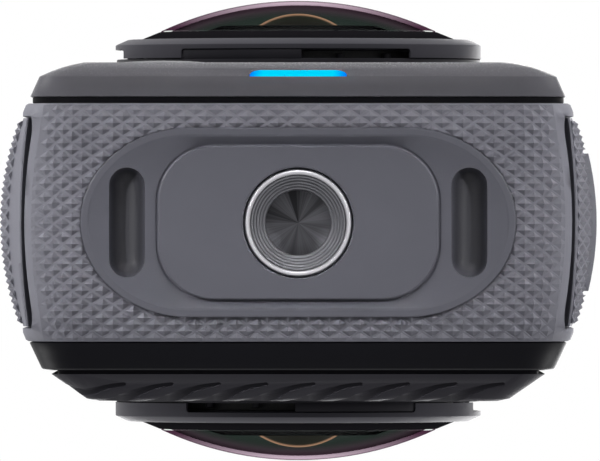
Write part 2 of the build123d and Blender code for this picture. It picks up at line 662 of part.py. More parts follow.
def base_inlay():
    """Oval base plate: raised pad in a shallow trench, two round-bottomed slots, thread hole."""
    plate_top = BAND_BORE_INSET
    inlay = extrude(oval(0), amount=plate_top)
    outer = Pos(0, BASE_CENTRE_Y) * RectangleRounded(TRENCH_LENGTH, TRENCH_WIDTH, TRENCH_CORNER)
    inner = Pos(0, BASE_CENTRE_Y) * RectangleRounded(PAD_LENGTH, PAD_WIDTH, PAD_CORNER)
    trench = loft([outer.face(), (Pos(0, 0, TRENCH_DEPTH) * inner).face()], ruled=True)
    inlay -= trench - extrude(inner, amount=TRENCH_DEPTH)
    for x in (-SLOT_X, SLOT_X):
        inlay -= base_slot(x)
    bore = THREAD_HEAD_RADIUS + SEAT_GAP
    return inlay - extrude(Pos(0, THREAD_CENTRE_Y) * Circle(bore), amount=plate_top)


def base_slot(x):
    """A slot with straight walls and a round floor and ends."""
    radius = SLOT_WIDTH / 2
    half = SLOT_LENGTH / 2 - radius
    mouth = Pos(x, BASE_CENTRE_Y, -OVERRUN) * Rot(0, 0, 90) * SlotOverall(SLOT_LENGTH, SLOT_WIDTH)
    cut = extrude(mouth, amount=OVERRUN + SLOT_STRAIGHT)
    cut += Pos(x, BASE_CENTRE_Y, SLOT_STRAIGHT) * Rot(90, 0, 0) * Cylinder(radius, 2 * half)
    for side in (-half, half):
        cut += Pos(x, BASE_CENTRE_Y + side, SLOT_STRAIGHT) * Sphere(radius)
    return cut


def thread_insert():
    """Turned tripod socket with a bevelled mouth, a tapered throat and a closed floor."""
    points = [
        (0, THREAD_DEPTH), (THREAD_MINOR_RADIUS, THREAD_DEPTH), (THREAD_MINOR_RADIUS, THREAD_THROAT),
        (THREAD_MOUTH_RADIUS, THREAD_BEVEL), (THREAD_HEAD_RADIUS, 0),
        (THREAD_HEAD_RADIUS, THREAD_HEAD_HEIGHT), (THREAD_SHANK_RADIUS, THREAD_HEAD_HEIGHT),
        (THREAD_SHANK_RADIUS, THREAD_LENGTH), (0, THREAD_LENGTH),
    ]
    section = Plane.XZ * make_face(Polyline(*points, close=True))
    return Pos(0, THREAD_CENTRE_Y) * revolve(section, axis=Axis.Z)


# Chassis


def battery_space(clearance):
    """The battery cell's shape, grown by a clearance and open towards +X."""
    low, high = CELL_LOW - clearance, CELL_HIGH + clearance
    front, rear = CELL_FRONT - clearance, CELL_REAR + clearance
    centre = Plane.YZ.offset(CELL_DEEP_X - clearance) * Pos((front + rear) / 2, (low + high) / 2)
    sheet = centre * RectangleRounded(rear - front, high - low, CELL_CORNER)
    return extrude(sheet, amount=SIDE_INNER - SEAT_GAP - CELL_DEEP_X + clearance)


def chassis():
    """Inner frame with the battery bay, board recesses, lens chambers, port and latch keeper."""
    frame = plate(CHASSIS_INSET, BAND_FRONT, RIM_FRONT - SEAT_GAP)
    frame += plate(NECK_INSET, COVER_BACK + SEAT_GAP, BAND_FRONT - SEAT_GAP)
    frame += plate(CHASSIS_INSET, BAND_FRONT - SEAT_GAP, BAND_FRONT)
    frame -= battery_space(BAY_CLEARANCE)
    chamber = drum(CHAMBER_RADIUS, CHAMBER_FLOOR, -COVER_BACK + OVERRUN)
    frame -= [chamber, chamber.rotate(Axis.Z, 180)]
    cuts = [
        block(-BOARD_RECESS_HALF, BOARD_RECESS_HALF, COVER_BACK - OVERRUN, BOARD_RECESS_FLOOR,
              FRONT_BOARD_LOW - PLAY, MAIN_BOARD_HIGH + PLAY),
        block(SOCKET_X - PLAY, SOCKET_X + SOCKET_LENGTH + PLAY, BOARD_RECESS_FLOOR,
              MAIN_BOARD_Y + BOARD_THICKNESS + SOCKET_THICKNESS + PLAY,
              SOCKET_LOW - PLAY, SOCKET_HIGH + PLAY),
        block(-SPREADER_HALF - PLAY, SPREADER_HALF + PLAY,
              RIM_FRONT - SEAT_GAP - SPREADER_THICKNESS - SEAT_GAP,
              RIM_FRONT + OVERRUN, SPREADER_LOW - PLAY, SPREADER_HIGH + PLAY),
        block(-SIDE_WALL - OVERRUN, PORT_DEEP_X, PORT_FRONT, PORT_REAR, PORT_LOW, PORT_HIGH),
        block(-SIDE_WALL - OVERRUN, SIDE_BOARD_X + BOARD_THICKNESS + SEAT_GAP,
              SIDE_CENTRE_Y - SIDE_BOARD_HALF - PLAY, SIDE_CENTRE_Y + SIDE_BOARD_HALF + PLAY,
              SIDE_BOARD_LOW - PLAY, SIDE_BOARD_HIGH + PLAY),
        block(SPEAKER_INNER - SEAT_GAP, SIDE_WALL + OVERRUN, CELL_CENTRE_Y - SPEAKER_HALF - PLAY,
              CELL_CENTRE_Y + SPEAKER_HALF + PLAY, SPEAKER_LOW - PLAY, SPEAKER_HIGH + PLAY),
        block(-SIDE_WALL - OVERRUN, -SIDE_WALL + ANTENNA_THICKNESS + SEAT_GAP,
              SIDE_CENTRE_Y - ANTENNA_HALF - PLAY, SIDE_CENTRE_Y + ANTENNA_HALF + PLAY,
              ANTENNA_LOW - PLAY, ANTENNA_HIGH + PLAY),
        block(KEEPER_POCKET_INNER, KEEPER_INNER, -LATCH_SHANK_HALF - PLAY + SIDE_CENTRE_Y,
              LATCH_SHANK_HALF + PLAY + SIDE_CENTRE_Y, KEEPER_POCKET_LOW, CELL_LOW),
        block(KEEPER_INNER, SIDE_WALL + OVERRUN, -LATCH_SHANK_HALF - PLAY + SIDE_CENTRE_Y,
              LATCH_SHANK_HALF + PLAY + SIDE_CENTRE_Y, KEEPER_TOP, CELL_LOW),
    ]
    frame -= cuts
    for x in (-MIC_X, MIC_X):
        top = BODY_HEIGHT - CHASSIS_INSET
        frame -= block(x - MIC_LENGTH / 2 - PLAY, x + MIC_LENGTH / 2 + PLAY,
                       BASE_CENTRE_Y - MIC_WIDTH / 2 - PLAY, BASE_CENTRE_Y + MIC_WIDTH / 2 + PLAY,
                       top - MIC_HEIGHT - SEAT_GAP, top + OVERRUN)
    socket = THREAD_SHANK_RADIUS + SEAT_GAP
    frame -= extrude(Pos(0, THREAD_CENTRE_Y) * Circle(socket), amount=THREAD_LENGTH + SEAT_GAP)
    return frame + hinge_ears()


def hinge_ears():
    """Two ears on the -X wall that hold the door's hinge pin."""
    near = KNUCKLE_HALF + EAR_GAP
    ears = []
    for start in (SIDE_CENTRE_Y + near, SIDE_CENTRE_Y - near - EAR_THICKNESS):
        ear = hinge_drum(EAR_RADIUS, start, start + EAR_THICKNESS)
        ear += block(HINGE_X, -SIDE_WALL + SEAT_GAP, start, start + EAR_THICKNESS,
                     HINGE_Z - EAR_RADIUS, HINGE_Z + EAR_RADIUS)
        ears.append(ear - hinge_drum(PIN_RADIUS, start - OVERRUN, start + OVERRUN))
    return ears


def hinge_drum(radius, y0, y1):
    """A cylinder on the door hinge's axis."""
    disc = Plane.XZ.offset(-y1) * Pos(HINGE_X, HINGE_Z) * Circle(radius)
    return extrude(disc, amount=y1 - y0)


# Left side: USB door, port, panel and buttons


def usb_door():
    """Door with a knuckle on the pin and notches that clear the ears."""
    door = to_left(bulge(SIDE_REACH, SIDE_LOW, HINGE_Z))
    door += hinge_drum(KNUCKLE_RADIUS, SIDE_CENTRE_Y - KNUCKLE_HALF, SIDE_CENTRE_Y + KNUCKLE_HALF)
    near = KNUCKLE_HALF
    far = KNUCKLE_HALF + EAR_GAP + EAR_THICKNESS + SIDE_GAP
    for front, rear in ((near, far), (-far, -near)):
        door -= block(-SIDE_REACH - OVERRUN, -SIDE_INNER + OVERRUN, SIDE_CENTRE_Y + front,
                      SIDE_CENTRE_Y + rear, HINGE_Z - DOOR_NOTCH, HINGE_Z + OVERRUN)
    return door - hinge_drum(PIN_RADIUS + PIN_CLEARANCE, SIDE_FRONT, SIDE_REAR)


def usb_door_pin():
    """Steel pin through the ears and the knuckle."""
    reach = KNUCKLE_HALF + EAR_GAP + EAR_THICKNESS
    return hinge_drum(PIN_RADIUS, SIDE_CENTRE_Y - reach, SIDE_CENTRE_Y + reach)


def port_outline(shrink):
    """The port's rounded outline in YZ."""
    width, height = PORT_REAR - PORT_FRONT, PORT_HIGH - PORT_LOW
    sheet = RectangleRounded(width - 2 * shrink, height - 2 * shrink, PORT_CORNER)
    return Pos((PORT_FRONT + PORT_REAR) / 2, (PORT_LOW + PORT_HIGH) / 2) * sheet


def usb_door_seal():
    """Rubber lip on the door that enters the port."""
    sheet = port_outline(SEAL_CLEARANCE) - port_outline(SEAL_CLEARANCE + SEAL_WALL)
    return extrude(Plane.YZ.offset(-SIDE_INNER) * sheet, amount=SEAL_REACH)


def usb_connector():
    """USB-C receptacle: a flat steel shell with its tongue, at the back of the port."""
    centre = Pos((PORT_FRONT + PORT_REAR) / 2, (PORT_LOW + PORT_HIGH) / 2) * Rot(0, 0, 90)
    back = Plane.YZ.offset(PORT_DEEP_X - USB_LENGTH)
    shell = SlotOverall(USB_WIDTH, USB_THICKNESS)
    bore = SlotOverall(USB_WIDTH - 2 * USB_WALL, USB_THICKNESS - 2 * USB_WALL)
    body = extrude(back * centre * shell, amount=USB_LENGTH)
    body -= extrude(back * centre * bore, amount=USB_LENGTH - 2 * USB_WALL)
    tongue = centre * Rectangle(USB_WIDTH - 2 * USB_THICKNESS / 2, USB_TONGUE)
    return body + extrude(back.offset(USB_THICKNESS / 2) * tongue, amount=USB_LENGTH - USB_THICKNESS / 2)


def side_drum(z, radius, x0, x1):
    """A cylinder along X at a side button."""
    disc = Plane.YZ.offset(x0) * Pos(SIDE_CENTRE_Y, z) * Circle(radius)
    return extrude(disc, amount=x1 - x0)


def side_panel():
    """Fixed textured panel above the door, with the two button bores."""
    whole = extrude(Pos(0, 0, PANEL_LOW_Z) * bulge_face(SIDE_REACH), amount=SIDE_TOP - PANEL_LOW_Z)
    panel = to_left(whole)
    for z in (POWER_Z, QUICK_Z):
        bore = SIDE_BUTTON_RADIUS + BUTTON_CLEARANCE
        panel -= side_drum(z, bore, -SIDE_REACH - OVERRUN, -SIDE_INNER + OVERRUN)
        panel -= side_drum(z, bore + FLANGE_LIP, SIDE_FLANGE_X - SEAT_GAP, -SIDE_INNER + OVERRUN)
    return panel


def side_button(z):
    """Round side button with a retaining flange and a stem."""
    button = side_drum(z, SIDE_BUTTON_RADIUS, SIDE_BUTTON_FACE, SIDE_FLANGE_X + FLANGE_THICKNESS)
    button += side_drum(z, SIDE_BUTTON_RADIUS + FLANGE_LIP, SIDE_FLANGE_X, SIDE_FLANGE_X + FLANGE_THICKNESS)
    return button + side_drum(z, STEM_RADIUS, SIDE_FLANGE_X, SIDE_STEM_X)


def side_switch_board():
    """Board behind the side buttons, with a snap dome for each."""
    board = block(SIDE_BOARD_X, SIDE_BOARD_X + BOARD_THICKNESS, SIDE_CENTRE_Y - SIDE_BOARD_HALF,
                  SIDE_CENTRE_Y + SIDE_BOARD_HALF, SIDE_BOARD_LOW, SIDE_BOARD_HIGH)
    for z in (POWER_Z, QUICK_Z):
        board += side_drum(z, DOME_RADIUS, SIDE_BOARD_X - DOME_HEIGHT, SIDE_BOARD_X)
    return board


# Right side: battery, cover and latch


def battery_cell():
    """The cell block that slides into its bay."""
    return battery_space(0)


def latch_recess(low, high, play):
    """The space of the latch plate in the battery cover's outside."""
    half = LATCH_HALF + play
    inner = SIDE_REACH - LATCH_THICKNESS - play
    return block(inner, SIDE_REACH + OVERRUN, SIDE_CENTRE_Y - half, SIDE_CENTRE_Y + half, low, high)


def battery_cover():
    """Outer cover of the battery, with the latch's recess and the slot for its shank."""
    cover = bulge(BATTERY_REACH, SIDE_LOW, SIDE_TOP)
    cover -= latch_recess(LATCH_LOW - LATCH_TRAVEL - SIDE_GAP, LATCH_HIGH + SIDE_GAP, SIDE_GAP)
    half = LATCH_SHANK_HALF + SIDE_GAP
    return cover - block(SIDE_INNER - OVERRUN, SIDE_REACH - LATCH_THICKNESS, SIDE_CENTRE_Y - half,
                         SIDE_CENTRE_Y + half, LATCH_SHANK_LOW - LATCH_TRAVEL - SIDE_GAP,
                         LATCH_SHANK_HIGH + SIDE_GAP)


def battery_latch():
    """Sliding latch: an arched plate outside, a shank through the cover and a foot behind the keeper."""
    shape = extrude(Pos(0, 0, LATCH_LOW) * bulge_face(SIDE_REACH), amount=LATCH_HIGH - LATCH_LOW)
    latch = shape & latch_recess(LATCH_LOW, LATCH_HIGH, 0)
    low, high = SIDE_CENTRE_Y - LATCH_SHANK_HALF, SIDE_CENTRE_Y + LATCH_SHANK_HALF
    latch += block(LATCH_FOOT_INNER, SIDE_REACH - LATCH_THICKNESS + SEAT_GAP, low, high,
                   LATCH_SHANK_LOW, LATCH_SHANK_HIGH)
    return latch + block(LATCH_FOOT_INNER, LATCH_FOOT_OUTER, low, high, LATCH_FOOT_LOW, LATCH_SHANK_HIGH)


def battery_seal():
    """Flat gasket between the battery cover and the cell's edge."""
    span, height = CELL_REAR - CELL_FRONT, CELL_HIGH - CELL_LOW
    centre = Pos(CELL_CENTRE_Y, (CELL_LOW + CELL_HIGH) / 2)
    plane = Plane.YZ.offset(SIDE_INNER - BATTERY_SEAL_THICKNESS) * centre
    inner = RectangleRounded(span, height, CELL_CORNER)
    outer = RectangleRounded(span + 2 * BATTERY_SEAL_WIDTH, height + 2 * BATTERY_SEAL_WIDTH,
                             CELL_CORNER + BATTERY_SEAL_WIDTH)
    return extrude(plane * (outer - inner), amount=BATTERY_SEAL_THICKNESS)


def battery_contacts():
    """Spring contact pads at the deep end of the bay."""
    low = CELL_DEEP_X - BAY_CLEARANCE
    pads = []
    for index in range(CONTACT_COUNT):
        z = CONTACT_Z - index * CONTACT_PITCH
        pads.append(block(low, low + BAY_CLEARANCE - SEAT_GAP, CELL_CENTRE_Y - CONTACT_LENGTH,
                          CELL_CENTRE_Y + CONTACT_LENGTH, z - CONTACT_THICKNESS, z + CONTACT_THICKNESS))
    return Compound(pads)


# Screen and front buttons


def touchscreen_glass():
    """Cover glass of the touchscreen, flush with the face."""
    return extrude(Plane.XZ.offset(-COVER_FACE - GLASS_THICKNESS) * glass_window(0), amount=GLASS_THICKNESS)


def display_panel():
    """Display bonded behind the glass."""
    top = -COVER_FACE - GLASS_THICKNESS
    sheet = glass_window(-GLASS_LEDGE - SIDE_GAP)
    return extrude(Plane.XZ.offset(top - DISPLAY_THICKNESS) * sheet, amount=DISPLAY_THICKNESS)


def front_button(x, crown):
    """Round front button with a crowned face, a retaining flange and a stem."""
    button = front_drum(x, FRONT_BUTTON_RADIUS, FRONT_FLANGE_Y + FLANGE_THICKNESS, COVER_FACE)
    if crown:
        sphere = (FRONT_BUTTON_RADIUS ** 2 + crown ** 2) / (2 * crown)
        ball = Pos(x, COVER_FACE - crown + sphere, FRONT_BUTTON_Z) * Sphere(sphere)
        button += front_drum(x, FRONT_BUTTON_RADIUS, COVER_FACE, COVER_FACE - crown) & ball
    flange = FRONT_BUTTON_RADIUS + FLANGE_LIP
    button += front_drum(x, flange, FRONT_FLANGE_Y + FLANGE_THICKNESS, FRONT_FLANGE_Y)
    return button + front_drum(x, STEM_RADIUS, FRONT_STEM_Y, FRONT_FLANGE_Y)


def front_switch_board():
    """Board behind the front buttons, with a snap dome for each."""
    board = block(-FRONT_BOARD_HALF, FRONT_BOARD_HALF, FRONT_BOARD_Y, FRONT_BOARD_Y + BOARD_THICKNESS,
                  FRONT_BOARD_LOW, FRONT_BOARD_HIGH)
    for x in (-FRONT_BUTTON_X, FRONT_BUTTON_X):
        board += front_drum(x, DOME_RADIUS, FRONT_BOARD_Y, FRONT_BOARD_Y - DOME_HEIGHT)
    return board


# Electronics


def main_board():
    """Main circuit board behind the display."""
    return block(-FRONT_BOARD_HALF, FRONT_BOARD_HALF, MAIN_BOARD_Y, MAIN_BOARD_Y + BOARD_THICKNESS,
                 MAIN_BOARD_LOW, MAIN_BOARD_HIGH)


def card_socket():
    """Memory card socket on the back of the main board."""
    back = MAIN_BOARD_Y + BOARD_THICKNESS
    return block(SOCKET_X, SOCKET_X + SOCKET_LENGTH, back, back + SOCKET_THICKNESS, SOCKET_LOW, SOCKET_HIGH)


def heat_spreader():
    """Thin plate that spreads heat into the rear cover."""
    face = RIM_FRONT - SEAT_GAP
    return block(-SPREADER_HALF, SPREADER_HALF, face - SPREADER_THICKNESS, face, SPREADER_LOW, SPREADER_HIGH)


def speaker():
    """Small speaker behind the slots above the battery."""
    return block(SPEAKER_INNER, SPEAKER_OUTER, CELL_CENTRE_Y - SPEAKER_HALF, CELL_CENTRE_Y + SPEAKER_HALF,
                 SPEAKER_LOW, SPEAKER_HIGH)


def antenna():
    """Flat radio antenna under the band."""
    return block(-SIDE_WALL, -SIDE_WALL + ANTENNA_THICKNESS, SIDE_CENTRE_Y - ANTENNA_HALF,
                 SIDE_CENTRE_Y + ANTENNA_HALF, ANTENNA_LOW, ANTENNA_HIGH)


def mic_meshes():
    """Two mesh discs in the top of the band."""
    top = BODY_HEIGHT - MIC_MESH_SUNK
    foot = top - MIC_MESH_THICKNESS
    return Compound([upright(x, MIC_MESH_RADIUS, foot, top).solid() for x in (-MIC_X, MIC_X)])


def microphones():
    """Two microphones under the meshes."""
    top = BODY_HEIGHT - CHASSIS_INSET
    return Compound([
        block(x - MIC_LENGTH / 2, x + MIC_LENGTH / 2, BASE_CENTRE_Y - MIC_WIDTH / 2,
              BASE_CENTRE_Y + MIC_WIDTH / 2, top - MIC_HEIGHT, top)
        for x in (-MIC_X, MIC_X)])


# Lens, in the front lens's place


def lens_base():
    """Fixed ring on the chassis with stepped bayonet blocks and small stop posts."""
    foot = -COVER_BACK
    base = ring(BASE_RING_RADIUS, BASE_RING_BORE, foot, BASE_RING_TOP)
    for turn in WINDOW_TURNS:
        base += wedge(BLOCK_STEM, BLOCK_INNER, turn + BLOCK_START, BLOCK_SWEEP, BASE_RING_TOP, BLOCK_UNDERCUT)
        base += wedge(BLOCK_OUTER, BLOCK_INNER, turn + BLOCK_START, BLOCK_SWEEP, BLOCK_UNDERCUT, BLOCK_TOP)
        for post in POST_ANGLES:
            centre = Pos(*polar(POST_AT, math.radians(turn + post - 90)))
            disc = FRONT_PLANE.offset(BASE_RING_TOP) * centre * Circle(POST_RADIUS)
            base += extrude(disc, amount=BLOCK_UNDERCUT - BASE_RING_TOP)
    return base


def lens_ring():
    """Turning ring: windows in its wall, bayonet lugs under the blocks and a shelf for the glass."""
    wall = ring(LENS_RADIUS, RING_WALL_INNER, RING_FOOT, RING_TOP)
    wall += ring(LENS_RADIUS, RING_LIP_INNER, RING_GLASS_SEAT, RING_TOP)
    wall += ring(RING_SHELF_OUTER, RING_BORE, RING_SHELF, RING_GLASS_SEAT)
    for turn in WINDOW_TURNS:
        wall -= wedge(LENS_RADIUS + PLAY, RING_WALL_INNER - PLAY, turn + WINDOW_START, WINDOW_SWEEP,
                      RING_FOOT - PLAY, WINDOW_TOP)
        wall += wedge(RING_WALL_INNER + SEAT_GAP, RING_LUG_INNER, turn + RING_LUG_START, RING_LUG_SWEEP,
                      RING_FOOT, RING_LUG_TOP)
    return wall - turned([
        (LENS_RADIUS - 2 * RING_CHAMFER_RUN, RING_TOP + RING_CHAMFER_DROP),
        (LENS_RADIUS + RING_CHAMFER_RUN, RING_TOP + RING_CHAMFER_DROP),
        (LENS_RADIUS + RING_CHAMFER_RUN, RING_TOP - 2 * RING_CHAMFER_DROP)])


def retaining_ring():
    """Conical ring that clamps the cover glass."""
    seat = RING_GLASS_SEAT + DOME_FLANGE
    return turned([
        (RETAINER_TOP_RADIUS, RETAINER_TOP), (RETAINER_RADIUS, RING_TOP), (RETAINER_RADIUS, RING_GLASS_SEAT),
        (DOME_FLANGE_RADIUS + SEAT_GAP, RING_GLASS_SEAT), (DOME_FLANGE_RADIUS + SEAT_GAP, seat),
        (RETAINER_TOP_RADIUS, seat)])


def cap(sphere, radius, apex):
    """Points of a spherical cap's section: its apex, a middle point and its rim."""
    centre = apex - sphere
    half = math.asin(radius / sphere) / 2
    middle = sphere * math.sin(half), centre + sphere * math.cos(half)
    return (0, apex), middle, (radius, centre + math.sqrt(sphere ** 2 - radius ** 2))


def spun(edges):
    """A body of revolution on the front lens axis from edges in (radius, height)."""
    section = FRONT_PLANE.rotated((-90, 0, 0)) * mirror(Face(Wire(edges)), Plane.XZ)
    return revolve(section, axis=Axis((0, 0, LENS_Z), (0, -1, 0)))


def lines(points):
    """Straight edges through the points in turn."""
    return [Edge.make_line(first, last) for first, last in zip(points, points[1:])]


def turned(points):
    """A body of revolution on the front lens axis, from the corners of its section."""
    return spun(lines(points + points[:1]))


def cover_glass():
    """Outer dome: a thin spherical shell with a flange under the retaining ring."""
    apex, middle, rim = cap(DOME_SPHERE, DOME_RIM_RADIUS, DOME_APEX)
    inner_radius = DOME_RIM_RADIUS - DOME_WALL
    low, inner_middle, inner_rim = cap(DOME_SPHERE - DOME_WALL, inner_radius, DOME_APEX - DOME_WALL)
    seat = RING_GLASS_SEAT
    corners = [rim, (DOME_RIM_RADIUS, seat + DOME_FLANGE), (DOME_FLANGE_RADIUS, seat + DOME_FLANGE),
               (DOME_FLANGE_RADIUS, seat), (inner_radius, seat), inner_rim]
    edges = [Edge.make_three_point_arc(apex, middle, rim)] + lines(corners)
    edges += [Edge.make_three_point_arc(inner_rim, inner_middle, low), Edge.make_line(low, apex)]
    return spun(edges)


def fisheye_element():
    """Inner dome element, bulging out of the barrel."""
    apex, middle, rim = cap(FISHEYE_SPHERE, FISHEYE_RADIUS, FISHEYE_APEX)
    corners = [rim, (FISHEYE_RADIUS, FISHEYE_BACK), (0, FISHEYE_BACK), apex]
    return spun([Edge.make_three_point_arc(apex, middle, rim)] + lines(corners))


def lens_seal():
    """Rubber ring between the fixed base and the turning shelf."""
    return ring(SEAL_OUTER, SEAL_INNER, BASE_RING_TOP, RING_SHELF - SEAT_GAP)


def lens_baffle():
    """Black funnel round the inner element."""
    return turned([
        (BAFFLE_MOUTH_RADIUS, BAFFLE_MOUTH), (BAFFLE_CONE_RADIUS, BAFFLE_CONE),
        (BAFFLE_RIM_RADIUS, BAFFLE_RIM), (BAFFLE_RIM_RADIUS, BAFFLE_FOOT),
        (BAFFLE_MOUTH_RADIUS, BAFFLE_FOOT)])


def lens_barrel():
    """Barrel with a flange on the sensor board and a stepped bore."""
    return turned([
        (BARREL_BORE, BARREL_TOP), (BARREL_RADIUS, BARREL_TOP), (BARREL_RADIUS, BARREL_FLANGE_TOP),
        (BARREL_FLANGE_RADIUS, BARREL_FLANGE_TOP), (BARREL_FLANGE_RADIUS, BARREL_FOOT),
        (BARREL_FOOT_BORE, BARREL_FOOT), (BARREL_FOOT_BORE, BARREL_FLANGE_TOP),
        (BARREL_THROAT, BARREL_FLANGE_TOP), (BARREL_THROAT, BARREL_STEP), (BARREL_BORE, BARREL_STEP)])


def inner_lens_group():
    """Cemented inner elements in the barrel's throat."""
    return drum(GROUP_RADIUS, GROUP_LOW, BARREL_STEP)


def image_sensor():
    """Image sensor on its board."""
    sheet = FRONT_PLANE.offset(SENSOR_BOARD_TOP) * Rectangle(SENSOR_WIDTH, SENSOR_HEIGHT)
    return extrude(sheet, amount=SENSOR_THICKNESS)


def sensor_board():
    """Square board at the floor of the lens chamber."""
    low = CHAMBER_FLOOR + SEAT_GAP
    sheet = FRONT_PLANE.offset(low) * RectangleRounded(SENSOR_BOARD_SIZE, SENSOR_BOARD_SIZE, LEAST_CORNER)
    return extrude(sheet, amount=SENSOR_BOARD_TOP - low)


LENS_MAKERS = {
    "lens_base": lens_base, "lens_ring": lens_ring, "retaining_ring": retaining_ring,
    "cover_glass": cover_glass, "lens_seal": lens_seal, "lens_baffle": lens_baffle,
    "lens_barrel": lens_barrel, "fisheye_element": fisheye_element,
    "inner_lens_group": inner_lens_group, "image_sensor": image_sensor, "sensor_board": sensor_board,
}


def write(name, part):
    """Write one node to its own file."""
    export_step(Compound(part.solids()), os.path.join("parts", name + ".step"))


def main():
    """Build every node and write it to the parts folder."""
    os.makedirs("parts", exist_ok=True)
    makers = [
        grip_band, front_cover, status_light_guide, rear_cover, rear_ribbed_panel, base_inlay,
        thread_insert, chassis, usb_door, usb_door_pin, usb_door_seal, usb_connector, side_panel,
        side_switch_board, battery_cell, battery_cover, battery_latch, battery_seal, battery_contacts,
        touchscreen_glass, display_panel, front_switch_board, main_board, card_socket, heat_spreader,
        speaker, antenna, mic_meshes, microphones,
    ]
    for make in makers:
        write(make.__name__, make())
    write("power_button", side_button(POWER_Z))
    write("quick_button", side_button(QUICK_Z))
    write("shutter_button", front_button(-FRONT_BUTTON_X, FRONT_BUTTON_CROWN))
    write("lens_button", front_button(FRONT_BUTTON_X, 0))
    for name, make in LENS_MAKERS.items():
        part = make()
        write("front_" + name, part)
        write("rear_" + name, part.rotate(Axis.Z, 180))


main()
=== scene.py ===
"""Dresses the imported 360 degree camera: meshes, finishes, studio light and the photograph's view."""

import json
import logging
import math
from dataclasses import dataclass, field, replace
from enum import Enum
from typing import Callable, Iterable, Optional, Union

import bmesh
import bpy
from mathutils import Matrix, Vector


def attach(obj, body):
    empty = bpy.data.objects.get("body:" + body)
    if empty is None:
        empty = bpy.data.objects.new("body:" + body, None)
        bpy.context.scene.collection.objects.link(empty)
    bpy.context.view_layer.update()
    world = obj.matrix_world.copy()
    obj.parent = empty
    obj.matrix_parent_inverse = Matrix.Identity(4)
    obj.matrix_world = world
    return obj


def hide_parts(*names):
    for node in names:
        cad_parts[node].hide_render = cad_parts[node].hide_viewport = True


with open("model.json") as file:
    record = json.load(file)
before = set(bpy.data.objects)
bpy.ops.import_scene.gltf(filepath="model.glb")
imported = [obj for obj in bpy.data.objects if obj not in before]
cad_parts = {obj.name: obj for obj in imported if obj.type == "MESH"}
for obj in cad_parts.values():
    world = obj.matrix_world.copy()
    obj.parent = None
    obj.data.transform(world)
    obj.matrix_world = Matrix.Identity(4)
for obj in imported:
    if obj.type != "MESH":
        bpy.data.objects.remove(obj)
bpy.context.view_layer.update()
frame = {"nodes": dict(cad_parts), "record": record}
LOG = logging.getLogger("camera")

MM = 0.001
BAND_Y = -0.62  # middle of the grip band and the base plate, in millimetres
THREAD_Y = -0.59  # axis of the tripod thread
LENS_Z = 104.0  # height of both lens axes

Rgb = tuple[float, float, float]
Points = list[tuple[float, float]]
Outline = Callable[[Vector], tuple[Vector, Vector]]
Mesh = bmesh.types.BMesh
Socket = bpy.types.NodeSocket
Node = bpy.types.Node
Material = bpy.types.Material


class Body(Enum):
    """The bodies that pieces ride on."""

    CAMERA = "body"
    DOOR = "usb_door"
    BATTERY = "battery"
    LATCH = "battery_latch"
    FRONT_LENS = "front_lens"
    REAR_LENS = "rear_lens"
    POWER = "power_button"
    QUICK = "quick_button"
    SHUTTER = "shutter_button"
    LENS_KEY = "lens_button"


class Side(Enum):
    """The screen side and the ribbed side, as the turn of their lens round the upright axis."""

    FRONT = 0
    REAR = 180


class Flank(Enum):
    """The door side and the battery side, as their direction along X."""

    LEFT = -1
    RIGHT = 1


def linear(colour: Rgb) -> tuple[float, float, float, float]:
    """Turn a display colour into a shader colour.

    Args:
        colour: Red, green and blue from 0 to 255.

    Returns:
        Linear red, green and blue with full alpha.
    """
    shares = [value / 255 for value in colour]
    curve = [s / 12.92 if s <= 0.04045 else ((s + 0.055) / 1.055) ** 2.4 for s in shares]
    return curve[0], curve[1], curve[2], 1.0


def darker(colour: Rgb, share: float) -> Rgb:
    """The colour times a share, held at 255."""
    return tuple(min(255, value * share) for value in colour)


